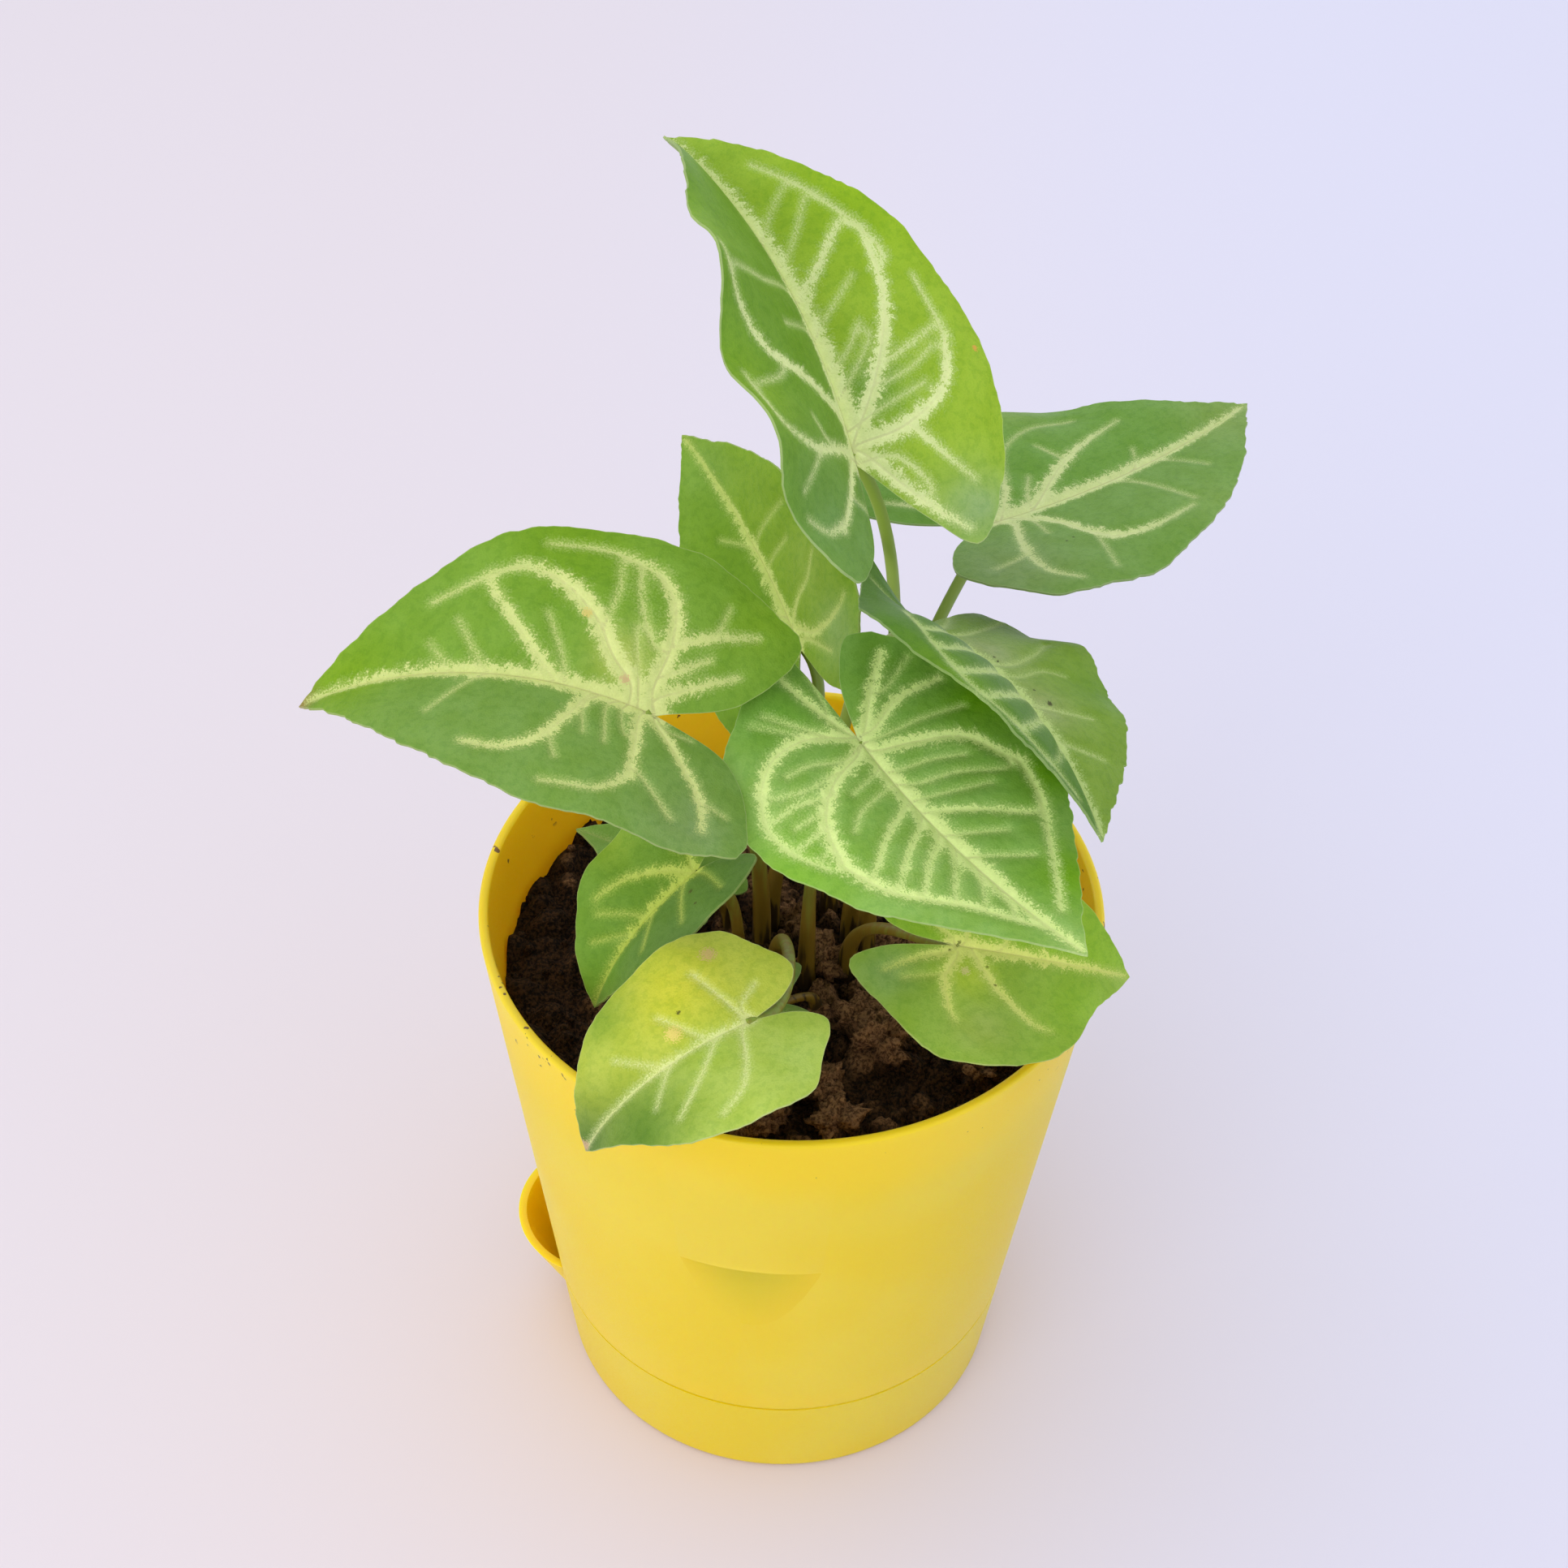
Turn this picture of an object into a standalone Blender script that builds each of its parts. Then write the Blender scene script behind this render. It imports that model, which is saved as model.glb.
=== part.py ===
"""Young arrowhead plant in a yellow self-watering pot.

Lengths are millimetres here and become metres where a shape is made. +Z is up, the front is
-Y, and the origin is the centre of the base tray's underside. The pot stands in the tray,
soil fills the pot, and each leaf stands on its own stem in its own hole in the soil.
"""
import math
import random

import bmesh
import bpy
from mathutils import Euler, Matrix, Vector

for old in list(bpy.data.objects):
    bpy.data.objects.remove(old, do_unlink=True)

MM = 0.001
CLEAR = 0.3             # left between two pieces that touch on the real thing
OVERCUT = 2.0           # how far a cutter reaches past what it cuts
SHARP_ANGLE = 35.0      # steeper edges stay sharp, degrees

# Pot and base tray share one straight taper from the floor to the rim.
POT_HEIGHT = 120.0
RIM_RADIUS = 57.5
BASE_RADIUS = 43.5
POT_WALL = 1.8
RIM_ROUND = 0.7
ROUND_STEPS = 60
SEAM_Z = 24.0           # top edge of the base tray
TRAY_WALL = 1.6
TRAY_FLOOR = 2.0
TRAY_CHAMFER = 1.2
SPIGOT_Z = 15.0         # underside of the pot's floor, inside the tray
FLOOR_THICK = 1.8
WELL_RADIUS = 11.0      # the well's soil reaches down into the water and draws it up
WELL_TAPER = 1.0
WELL_FOOT_Z = 2.6
WELL_WALL = 1.6
DRAIN_HOLES = 8
DRAIN_RING = 27.0
DRAIN_RADIUS = 2.0
SLOT_BARS = 2           # each cuts a slot on both sides of the well
SLOT_WIDTH = 3.0
SLOT_HEIGHT = 7.0
SLOT_TURN = 12.0        # degrees

# Filling spout: a half-round ear on the tray's left side, open at the top.
EAR_HEADING = 177.0     # degrees from +X, anticlockwise seen from above
EAR_CENTRE = 37.0       # from the pot's axis to the ear's axis
EAR_RADIUS = 17.4       # at the seam
EAR_TAPER = 0.425       # radius lost for each millimetre down
EAR_WALL = 1.6
EAR_FOOT_Z = 3.0
EAR_STEPS = 40

# Shallow flat on the pot's front, deepest under its straight top edge.
FLAT_TURN = -6.0        # degrees from the front, towards the left
FLAT_TOP_Z = 77.0
FLAT_FOOT_Z = 57.6
FLAT_WIDTH = 26.0
FLAT_DEPTH = 1.2

# Soil.
SOIL_Z = 105.0          # mean height of its surface
SOIL_EDGE_DROP = 3.0
SOIL_WAVES = 9
SOIL_BUMP = 0.4         # height of each wave
SOIL_RINGS = 7
SOIL_STEPS = 40
SOIL_SEED = 11
STEM_FOOT_Z = 93.0      # how deep the stems stand

# Blades and stems.
BLADE_THICK = 0.7
BLADE_RINGS = (0.0, 0.36, 0.66, 0.86, 1.0)
FAN_CENTRE = 0.05       # middle of the blade's mesh, ahead of the stem, share of the length
NOTCH = -0.03           # bottom of the notch between the back lobes, share of the length
RIPPLES = 2.5           # edge waves along a blade
LARGE_LEAF = 45.0       # longer blades have more points round their edge
SMALL_LEAF = 30.0       # shorter blades have thinner stems
STEM_POINTS = 11
THIN_FROM = 4           # a stem thins from the soil up to this point
STEM_RADII = (1.9, 1.1)
THIN_STEM_RADII = (1.5, 0.8)

# Values of a plain leaf. Pairs are for its left and right half, shares are of its length.
#   pitch, roll  rise of the midrib and of the left half at the stem, degrees
#   curl, sweep  bend of the midrib down to the tip in degrees, and sideways as a share
#   fold         rise of each half from the midrib, degrees
#   cup, sag     how much each half and its back lobe bend down again
#   width        of each half, and full: how full it stays towards the tip
#   lobe, spread, inner  back lobe's length, its distance from the middle, its inner fullness
#   ripple, wave height of the edge waves, and where along a wave they start
#   hind         how full each half stays behind the stem
#   stem         angle to the midrib, share of the way it rises straight, share it runs out
#   bow          how far the stem swings out to the blade's right on its way, as a share
PLAIN = dict(
    pitch=0, roll=0, curl=40, sweep=0.0, fold=(15, 15), cup=(0.4, 0.4), sag=(0.1, 0.1),
    width=(0.44, 0.44), full=(1.0, 1.0), lobe=(0.34, 0.34), spread=(0.24, 0.24),
    inner=(1.0, 1.0), ripple=(0.01, 0.01), wave=(0.0, 0.0), hind=(1.0, 1.0),
    stem=(65, 0.45, 0.3), bow=0.0)

# joint is where stem and blade meet, heading is the tip's direction from +X, root is where
# the stem stands in the soil.
LEAVES = {
    "leaf_top": dict(
        joint=(7.5, 16, 212), heading=110, length=72.5, root=(14, 2),
        pitch=35, roll=16, curl=37, sweep=0.09, fold=(36, 38), cup=(0.5, 0.7), sag=(-0.1, -0.1),
        width=(0.44, 0.37), lobe=(0.34, 0.29), spread=(0.22, 0.22), inner=(0.5, 1.4),
        ripple=(0.05, 0.01), wave=(0.3, 0.0), bow=0.9),
    "leaf_back_right": dict(
        joint=(34, 40, 178), heading=33, length=68.5, root=(11, 6),
        pitch=-6, roll=-1, curl=0, sweep=0.18, fold=(8, 20), cup=(0.5, 0.4), sag=(0.0, 0.0),
        width=(0.45, 0.46), full=(1.0, 1.1), lobe=(0.34, 0.27),
        ripple=(0.02, 0.01), wave=(0.5, 0.2), stem=(60, 0.45, 0.3)),
    "leaf_left": dict(
        joint=(-25.5, -15, 180.5), heading=171, length=62, root=(-5.5, 3),
        pitch=21, roll=-1, curl=56, sweep=0.06, fold=(7, 32), cup=(0.4, 0.1),
        width=(0.42, 0.44), full=(1.0, 0.9), lobe=(0.36, 0.33), spread=(0.34, 0.32),
        inner=(0.5, 0.9), wave=(0.1, 0.2), stem=(40, 0.65, 0.25)),
    "leaf_centre": dict(
        joint=(11, -13, 172.5), heading=-55, length=55, root=(3, -6),
        pitch=-11, roll=-5, curl=-11, sweep=0.11, fold=(16, 5), cup=(0.2, 0.6), sag=(-0.4, -0.4),
        width=(0.50, 0.47), lobe=(0.34, 0.41), spread=(0.16, 0.10), inner=(1.0, 0.9),
        wave=(0.1, 0.3)),
    "leaf_back_left": dict(
        joint=(-0.5, 29, 158), heading=110, length=53, root=(-4, 9),
        pitch=14, roll=-43, curl=-4, sweep=0.12, fold=(4, 31), cup=(0.5, 0.3), sag=(0.0, 0.0),
        width=(0.42, 0.43), full=(1.0, 1.1), lobe=(0.33, 0.38), spread=(0.25, 0.26),
        ripple=(0.01, 0.02), wave=(0.2, 0.0)),
    "leaf_right": dict(
        joint=(22, 4, 183.5), heading=-49, length=56, root=(7, 13),
        pitch=18, roll=-31, curl=45, fold=(6, 24), cup=(0.0, 0.7), sag=(0.0, -2.0),
        width=(0.44, 0.47), full=(1.1, 1.2), lobe=(0.16, 0.27), spread=(0.32, 0.14), hind=(0.9, 0.6),
        ripple=(0.02, 0.01), wave=(0.7, 0.7), stem=(12, 0.45, 0.30)),
    "leaf_low_right": dict(
        joint=(29.5, -26, 137.5), heading=-3, length=36.5, root=(10.5, -3),
        pitch=-7, roll=37, curl=49, sweep=0.02, fold=(4, 21), cup=(0.3, 0.0),
        width=(0.50, 0.59), full=(1.0, 0.7), lobe=(0.39, 0.52), spread=(0.10, 0.17),
        inner=(0.8, 0.9), ripple=(0.01, 0.02), wave=(0.2, 0.8)),
    "leaf_front_left": dict(
        joint=(-7, -47, 139.5), heading=-152, length=40.5, root=(-3, -8),
        pitch=-4, roll=-2, curl=77, sweep=-0.11, fold=(12, 20), cup=(0.3, 0.4),
        width=(0.48, 0.49), full=(0.8, 1.1), lobe=(0.30, 0.29), spread=(0.16, 0.16),
        inner=(0.8, 0.9), ripple=(0.005, 0.01), wave=(0.1, 0.9), stem=(25, 0.6, 0.3)),
    "leaf_low_left": dict(
        joint=(-17.5, -13, 140), heading=-149, length=33.5, root=(-9.5, -6),
        pitch=-29, roll=3, curl=48, sweep=-0.05, fold=(21, 37), cup=(0.2, 0.3), sag=(0.2, 0.2),
        width=(0.43, 0.43), lobe=(0.32, 0.36), spread=(0.26, 0.25), inner=(1.1, 1.0),
        ripple=(0.01, 0.02), wave=(0.2, 0.3)),
    "leaf_small_left": dict(
        joint=(-19.5, 3, 120), heading=143, length=27, root=(-12, 7.5),
        pitch=5, roll=6, curl=20, fold=(19, 15), width=(0.41, 0.43), full=(0.8, 1.0),
        wave=(0.6, 0.0)),
    "leaf_small_front": dict(
        joint=(-7.5, -25, 118.5), heading=-158, length=22, root=(5, -14),
        pitch=-3, roll=-2, curl=36, sweep=0.19, fold=(2, 18), cup=(0.5, 0.3),
        width=(0.47, 0.46), lobe=(0.48, 0.55), inner=(1.0, 0.5), wave=(0.9, 0.0)),
}

# Colours and roughness.
YELLOW = (0.80, 0.60, 0.02)
SOIL_BROWN = (0.06, 0.03, 0.015)
LEAF_GREENS = {
    "leaf_top": (0.20, 0.38, 0.05),
    "leaf_back_right": (0.15, 0.32, 0.07),
    "leaf_left": (0.18, 0.36, 0.06),
    "leaf_centre": (0.20, 0.42, 0.08),
    "leaf_back_left": (0.18, 0.36, 0.03),
    "leaf_right": (0.16, 0.32, 0.09),
    "leaf_low_right": (0.16, 0.33, 0.06),
    "leaf_front_left": (0.34, 0.46, 0.07),
    "leaf_low_left": (0.11, 0.27, 0.04),
    "leaf_small_left": (0.16, 0.35, 0.05),
    "leaf_small_front": (0.22, 0.34, 0.10),
}

plant = bpy.data.collections.new("arrowhead_plant")
cutters = bpy.data.collections.new("cutters")
for group in (plant, cutters):
    bpy.context.scene.collection.children.link(group)


def outer_radius(z):
    """Radius of the outside of pot and tray at height z."""
    return BASE_RADIUS + (RIM_RADIUS - BASE_RADIUS) * z / POT_HEIGHT


def give_material(piece, colour, roughness):
    made = bpy.data.materials.new(piece.name)
    made.use_nodes = True
    shader = made.node_tree.nodes["Principled BSDF"]
    shader.inputs["Base Color"].default_value = (*colour, 1.0)
    shader.inputs["Roughness"].default_value = roughness
    shader.inputs["Metallic"].default_value = 0.0
    piece.data.materials.append(made)


def new_object(name, mesh, group):
    mesh.shade_smooth()
    mesh.set_sharp_from_angle(angle=math.radians(SHARP_ANGLE))
    made = bpy.data.objects.new(name, mesh)
    group.objects.link(made)
    if group is cutters:
        made.hide_render = True
        made.display_type = "WIRE"
    return made


def from_bmesh(name, work, group):
    """Object from a bmesh in millimetres."""
    for vert in work.verts:
        vert.co = [length * MM for length in vert.co]
    bmesh.ops.recalc_face_normals(work, faces=work.faces)
    mesh = bpy.data.meshes.new(name)
    work.to_mesh(mesh)
    work.free()
    return new_object(name, mesh, group)


def finished_mesh(name, data, modifier=None, settings=None):
    """Mesh that a curve's bevel, or a modifier on a profile, makes."""
    shape = bpy.data.objects.new(name, data)
    bpy.context.scene.collection.objects.link(shape)
    if modifier:
        step = shape.modifiers.new(modifier, modifier)
        for setting, value in settings.items():
            setattr(step, setting, value)
    bpy.context.view_layer.update()
    ready = shape.evaluated_get(bpy.context.evaluated_depsgraph_get())
    mesh = bpy.data.meshes.new_from_object(ready)
    bpy.data.objects.remove(shape, do_unlink=True)
    return mesh


def turned(name, profile, steps, group):
    """Solid turned about Z from an outline of (radius, height) from axis to axis."""
    outline = bpy.data.meshes.new(name + "_profile")
    edges = [(i, i + 1) for i in range(len(profile) - 1)]
    outline.from_pydata([(r * MM, 0, z * MM) for r, z in profile], edges, [])
    mesh = finished_mesh(name, outline, "SCREW", dict(
        axis="Z", angle=math.tau, steps=steps, render_steps=steps,
        use_merge_vertices=True, merge_threshold=0.00001))
    return new_object(name, mesh, group)


def upright_cone(name, x, y, low_z, high_z, low_radius, high_radius, steps):
    """Round cutter or boss that stands upright."""
    work = bmesh.new()
    place = Matrix.Translation((x, y, (low_z + high_z) / 2))
    bmesh.ops.create_cone(
        work, cap_ends=True, segments=steps, radius1=low_radius, radius2=high_radius,
        depth=high_z - low_z, matrix=place)
    return from_bmesh(name, work, cutters)


def combine(target, tool, operation):
    step = target.modifiers.new(tool.name, "BOOLEAN")
    step.operation = operation
    step.object = tool
    step.solver = "EXACT"


def smooth_line(points, steps):
    """Points of a centripetal Catmull-Rom curve through the given points."""
    full = [Vector(p) for p in points]
    full = [full[0] * 2 - full[1], *full, full[-1] * 2 - full[-2]]
    line = []
    for p0, p1, p2, p3 in zip(full, full[1:], full[2:], full[3:]):
        t1 = math.sqrt((p1 - p0).length)
        t2 = t1 + math.sqrt((p2 - p1).length)
        t3 = t2 + math.sqrt((p3 - p2).length)
        for i in range(steps):
            t = t1 + (t2 - t1) * i / steps
            a1 = p0.lerp(p1, t / t1)
            a2 = p1.lerp(p2, (t - t1) / (t2 - t1))
            a3 = p2.lerp(p3, (t - t2) / (t3 - t2))
            b1 = a1.lerp(a2, t / t2)
            b2 = a2.lerp(a3, (t - t1) / (t3 - t1))
            line.append(b1.lerp(b2, (t - t1) / (t2 - t1)))
    line.append(full[-2])
    return line


def evenly(line, count):
    """The same line as count + 1 points at equal distances."""
    reached = [0.0]
    for a, b in zip(line, line[1:]):
        reached.append(reached[-1] + (b - a).length)
    out = []
    k = 0
    for i in range(count + 1):
        want = reached[-1] * i / count
        while k < len(line) - 2 and reached[k + 1] < want:
            k += 1
        share = (want - reached[k]) / (reached[k + 1] - reached[k])
        out.append(line[k].lerp(line[k + 1], min(share, 1.0)))
    return out


def half_outline(leaf, side, count):
    """Edge of one half from the tip to the notch. Side 0 is the left half, 1 the right."""
    width = leaf["width"][side]
    full = leaf["full"][side]
    lobe = leaf["lobe"][side]
    spread = leaf["spread"][side]
    hind = leaf["hind"][side]
    points = [
        (1.0, 0.0),
        (0.88, 0.20 * width * full),
        (0.70, 0.50 * width * full),
        (0.45, 0.84 * width),
        (0.18, width),
        (-0.08, 0.97 * width * hind),
        (-0.62 * lobe, (0.45 * width + 0.5 * spread + 0.04) * hind),
        (-lobe, spread),
        (-0.72 * lobe, 0.42 * spread * leaf["inner"][side]),
        (NOTCH, 0.0),
    ]
    return evenly(smooth_line(points, 6), count)


def blade_point(leaf, u, v):
    """Point of a blade in its own axes, for u along the midrib and v across it to the left."""
    side = 0 if v >= 0 else 1
    slope = math.tan(math.radians(leaf["fold"][side]))
    waves = math.sin(math.tau * (RIPPLES * u + leaf["wave"][side]))
    lift = slope * abs(v) - leaf["cup"][side] * v * v
    lift += leaf["ripple"][side] * (v / 0.4) ** 2 * waves
    ahead = max(u, 0.0)
    behind = min(u, 0.0)
    bend = math.radians(leaf["curl"])
    angle = bend * ahead
    along = math.sin(angle) / bend if bend else ahead
    drop = (1 - math.cos(angle)) / bend if bend else 0.0
    return leaf["length"] * Vector((
        along + behind + lift * math.sin(angle),
        v / math.sqrt(1 + slope * slope) + leaf["sweep"] * ahead * ahead,
        lift * math.cos(angle) - drop - leaf["sag"][side] * behind * behind))


def blade(name, leaf):
    """Thin waved blade: a grid bent into rings round one point, in triangles, thickened."""
    count = 18 if leaf["length"] > LARGE_LEAF else 14
    left = half_outline(leaf, 0, count)
    right = half_outline(leaf, 1, count)
    edge = [(p.x, p.y) for p in left] + [(p.x, -p.y) for p in reversed(right[:-1])]
    rings = len(BLADE_RINGS) - 1
    around = len(edge) - 1
    work = bmesh.new()
    bmesh.ops.create_grid(work, x_segments=rings, y_segments=around, size=0.5)
    for vert in work.verts:
        ring = BLADE_RINGS[round((vert.co.x + 0.5) * rings)]
        u, v = edge[round((vert.co.y + 0.5) * around)]
        vert.co = blade_point(leaf, FAN_CENTRE + (u - FAN_CENTRE) * ring, v * ring)
    bmesh.ops.remove_doubles(work, verts=work.verts, dist=0.001)
    bmesh.ops.triangulate(work, faces=work.faces)
    made = from_bmesh(name, work, plant)
    made.location = Vector(leaf["joint"]) * MM
    made.rotation_euler = leaf_turn(leaf)
    thick = made.modifiers.new("thickness", "SOLIDIFY")
    thick.thickness = BLADE_THICK * MM
    thick.offset = 0.0
    return made


def leaf_turn(leaf):
    return Euler([math.radians(a) for a in (leaf["roll"], -leaf["pitch"], leaf["heading"])])


def stem_line(leaf):
    """Middle line of a stem: straight in the soil, then one arch up to the joint."""
    lean, rise, run = leaf["stem"]
    turn = leaf_turn(leaf).to_matrix()
    lean = math.radians(lean)
    arrive = turn @ Vector((math.cos(lean), leaf["bow"], math.sin(lean)))
    start = Vector((*leaf["root"], SOIL_Z + 1))
    end = Vector(leaf["joint"])
    reach = (end - start).length
    up = start + Vector((0, 0, rise * reach))
    out = end - arrive * run * reach
    line = [Vector((*leaf["root"], STEM_FOOT_Z))]
    for i in range(STEM_POINTS):
        t = i / (STEM_POINTS - 1)
        s = 1 - t
        line.append(start * s ** 3 + up * 3 * s * s * t + out * 3 * s * t * t + end * t ** 3)
    line[-1] += turn @ Vector((0, 0, 0.3 * BLADE_THICK))
    return line


def stem_radii(leaf):
    return THIN_STEM_RADII if leaf["length"] < SMALL_LEAF else STEM_RADII


def stem(name, leaf):
    """Round stem, thicker at its foot, as a closed mesh."""
    foot, top = stem_radii(leaf)
    curve = bpy.data.curves.new(name, "CURVE")
    curve.dimensions = "3D"
    curve.bevel_depth = MM
    curve.bevel_resolution = 1
    curve.use_fill_caps = True
    line = stem_line(leaf)
    track = curve.splines.new("POLY")
    track.points.add(len(line) - 1)
    for i, place in enumerate(line):
        risen = max(i - 1, 0) / THIN_FROM
        track.points[i].co = (*(place * MM), 1)
        track.points[i].radius = foot + (top - foot) * min(risen, 1.0)
    track.points[-1].radius = 0.7 * top
    mesh = finished_mesh(name, curve)
    work = bmesh.new()
    work.from_mesh(mesh)
    bmesh.ops.remove_doubles(work, verts=work.verts, dist=0.000001)
    bmesh.ops.recalc_face_normals(work, faces=work.faces)
    work.to_mesh(mesh)
    work.free()
    return new_object(name, mesh, cutters)


# Pot: a shell whose foot steps in and stands inside the tray, with a floor and a middle well.
floor_top = SPIGOT_Z + FLOOR_THICK
seat_z = SEAM_Z + CLEAR
step_z = seat_z + 2 * POT_WALL
spigot_radius = outer_radius(SPIGOT_Z) - TRAY_WALL - CLEAR
bore = spigot_radius - POT_WALL
well_foot = WELL_RADIUS - WELL_TAPER
well_floor_z = WELL_FOOT_Z + WELL_WALL
pot = turned("pot", [
    (0, well_floor_z),
    (well_foot - WELL_WALL, well_floor_z),
    (WELL_RADIUS - WELL_WALL, floor_top),
    (bore, floor_top),
    (bore, seat_z + POT_WALL),
    (outer_radius(step_z) - POT_WALL, step_z),
    (RIM_RADIUS - POT_WALL, POT_HEIGHT - RIM_ROUND),
    (RIM_RADIUS - POT_WALL + RIM_ROUND, POT_HEIGHT),
    (RIM_RADIUS - RIM_ROUND, POT_HEIGHT),
    (RIM_RADIUS, POT_HEIGHT - RIM_ROUND),
    (outer_radius(seat_z), seat_z),
    (spigot_radius, seat_z),
    (spigot_radius, SPIGOT_Z),
    (WELL_RADIUS, SPIGOT_Z),
    (well_foot, WELL_FOOT_Z),
    (0, WELL_FOOT_Z),
], ROUND_STEPS, plant)
give_material(pot, YELLOW, 0.45)

for i in range(DRAIN_HOLES):
    angle = math.tau * (i + 0.5) / DRAIN_HOLES
    combine(pot, upright_cone(
        f"drain_hole_{i}", DRAIN_RING * math.cos(angle), DRAIN_RING * math.sin(angle),
        SPIGOT_Z - OVERCUT, floor_top + OVERCUT, DRAIN_RADIUS, DRAIN_RADIUS, 8), "DIFFERENCE")

# Each bar cuts two slots, one on either side of the well.
for i in range(SLOT_BARS):
    turn = Matrix.Rotation(math.pi * i / SLOT_BARS + math.radians(SLOT_TURN), 4, "Z")
    lift = Matrix.Translation((0, 0, well_floor_z + SLOT_HEIGHT / 2))
    size = Matrix.Diagonal((2 * (WELL_RADIUS + OVERCUT), SLOT_WIDTH, SLOT_HEIGHT, 1))
    work = bmesh.new()
    bmesh.ops.create_cube(work, size=1.0, matrix=lift @ turn @ size)
    combine(pot, from_bmesh(f"well_slots_{i}", work, cutters), "DIFFERENCE")

# The flat's cutter: a wide shallow curve, no depth at its foot, pushed out through the front.
work = bmesh.new()
bmesh.ops.create_grid(work, x_segments=6, y_segments=1, size=0.5)
for vert in work.verts:
    high = vert.co.y > 0
    z = FLAT_TOP_Z if high else FLAT_FOOT_Z
    x = vert.co.x * 1.5 * FLAT_WIDTH
    wall = outer_radius(z)
    bulge = 0.5 / wall - FLAT_DEPTH / (FLAT_WIDTH / 2) ** 2
    y = wall - (FLAT_DEPTH if high else 0.0) - bulge * x * x
    vert.co = (x, -y, z)
pushed = bmesh.ops.extrude_face_region(work, geom=list(work.faces))
for part in pushed["geom"]:
    if isinstance(part, bmesh.types.BMVert):
        part.co.y = -RIM_RADIUS - OVERCUT
bmesh.ops.triangulate(work, faces=work.faces)
flat = from_bmesh("front_flat", work, cutters)
flat.rotation_euler.z = math.radians(FLAT_TURN)
combine(pot, flat, "DIFFERENCE")

# Base tray: the cup that holds the water, with the filling ear at its left.
tray = turned("base_tray", [
    (0, SEAM_Z),
    (outer_radius(SEAM_Z), SEAM_Z),
    (outer_radius(TRAY_CHAMFER), TRAY_CHAMFER),
    (BASE_RADIUS - TRAY_CHAMFER, 0),
    (0, 0),
], ROUND_STEPS, plant)
give_material(tray, YELLOW, 0.45)
ear_turn = math.radians(EAR_HEADING)
ear_x = EAR_CENTRE * math.cos(ear_turn)
ear_y = EAR_CENTRE * math.sin(ear_turn)
ear_foot = EAR_RADIUS - EAR_TAPER * (SEAM_Z - EAR_FOOT_Z)
combine(tray, upright_cone(
    "ear", ear_x, ear_y, EAR_FOOT_Z, SEAM_Z, ear_foot, EAR_RADIUS, EAR_STEPS), "UNION")
combine(tray, upright_cone(
    "ear_hollow", ear_x, ear_y, EAR_FOOT_Z + EAR_WALL, SEAM_Z + OVERCUT,
    ear_foot - EAR_WALL + EAR_TAPER * EAR_WALL,
    EAR_RADIUS - EAR_WALL + EAR_TAPER * OVERCUT, EAR_STEPS), "DIFFERENCE")
combine(tray, turned("tray_hollow", [
    (0, SEAM_Z + OVERCUT),
    (outer_radius(SEAM_Z + OVERCUT) - TRAY_WALL, SEAM_Z + OVERCUT),
    (outer_radius(TRAY_FLOOR) - TRAY_WALL, TRAY_FLOOR),
    (0, TRAY_FLOOR),
], ROUND_STEPS, cutters), "DIFFERENCE")

# Soil: fills the pot down into the well. Its top is turned flat and then raised by waves.
soil_edge_z = SOIL_Z - SOIL_EDGE_DROP
soil_radius = outer_radius(soil_edge_z) - POT_WALL - CLEAR
soil = turned("soil", [
    (0, SOIL_Z),
    *[(soil_radius * ring / SOIL_RINGS, SOIL_Z) for ring in range(1, SOIL_RINGS)],
    (soil_radius, soil_edge_z),
    (outer_radius(step_z) - POT_WALL - CLEAR, step_z),
    (bore - CLEAR, seat_z + POT_WALL),
    (bore - CLEAR, floor_top + CLEAR),
    (WELL_RADIUS - WELL_WALL - CLEAR, floor_top + CLEAR),
    (well_foot - WELL_WALL - CLEAR, well_floor_z + CLEAR),
    (0, well_floor_z + CLEAR),
], SOIL_STEPS, plant)
give_material(soil, SOIL_BROWN, 0.95)
draw = random.Random(SOIL_SEED)
waves = [
    (draw.uniform(0.06, 0.28), draw.uniform(0, math.tau), draw.uniform(0, math.tau))
    for _ in range(SOIL_WAVES)
]
for vert in soil.data.vertices:
    if vert.co.z > (SOIL_Z - 1) * MM:
        x, y = vert.co.x / MM, vert.co.y / MM
        raised = sum(
            math.sin(pitch * (x * math.cos(way) + y * math.sin(way)) + start)
            for pitch, way, start in waves)
        vert.co.z += SOIL_BUMP * MM * raised

# Leaves: blade and stem fused, with a plain hole in the soil for each stem.
for name, own in LEAVES.items():
    leaf = {**PLAIN, **own}
    made = blade(name, leaf)
    give_material(made, LEAF_GREENS[name], 0.4)
    combine(made, stem(name + "_stem", leaf), "UNION")
    hole = stem_radii(leaf)[0] + CLEAR
    combine(soil, upright_cone(
        name + "_hole", *leaf["root"], STEM_FOOT_Z - CLEAR, POT_HEIGHT, hole, hole, 10),
        "DIFFERENCE")
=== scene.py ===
"""Young arrowhead plant in a yellow self-watering pot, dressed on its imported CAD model.

Lengths are millimetres in this script, and MM turns them into metres where a shape is made.
+Z is up and the front is -Y. The order is the order in which the plant is potted: the base
tray, the pot, the soil, the leaves, and then the floor, the light and the camera.
"""
import math
import random

import bpy
import numpy as np
from mathutils import Euler, Matrix, Vector, noise


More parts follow.
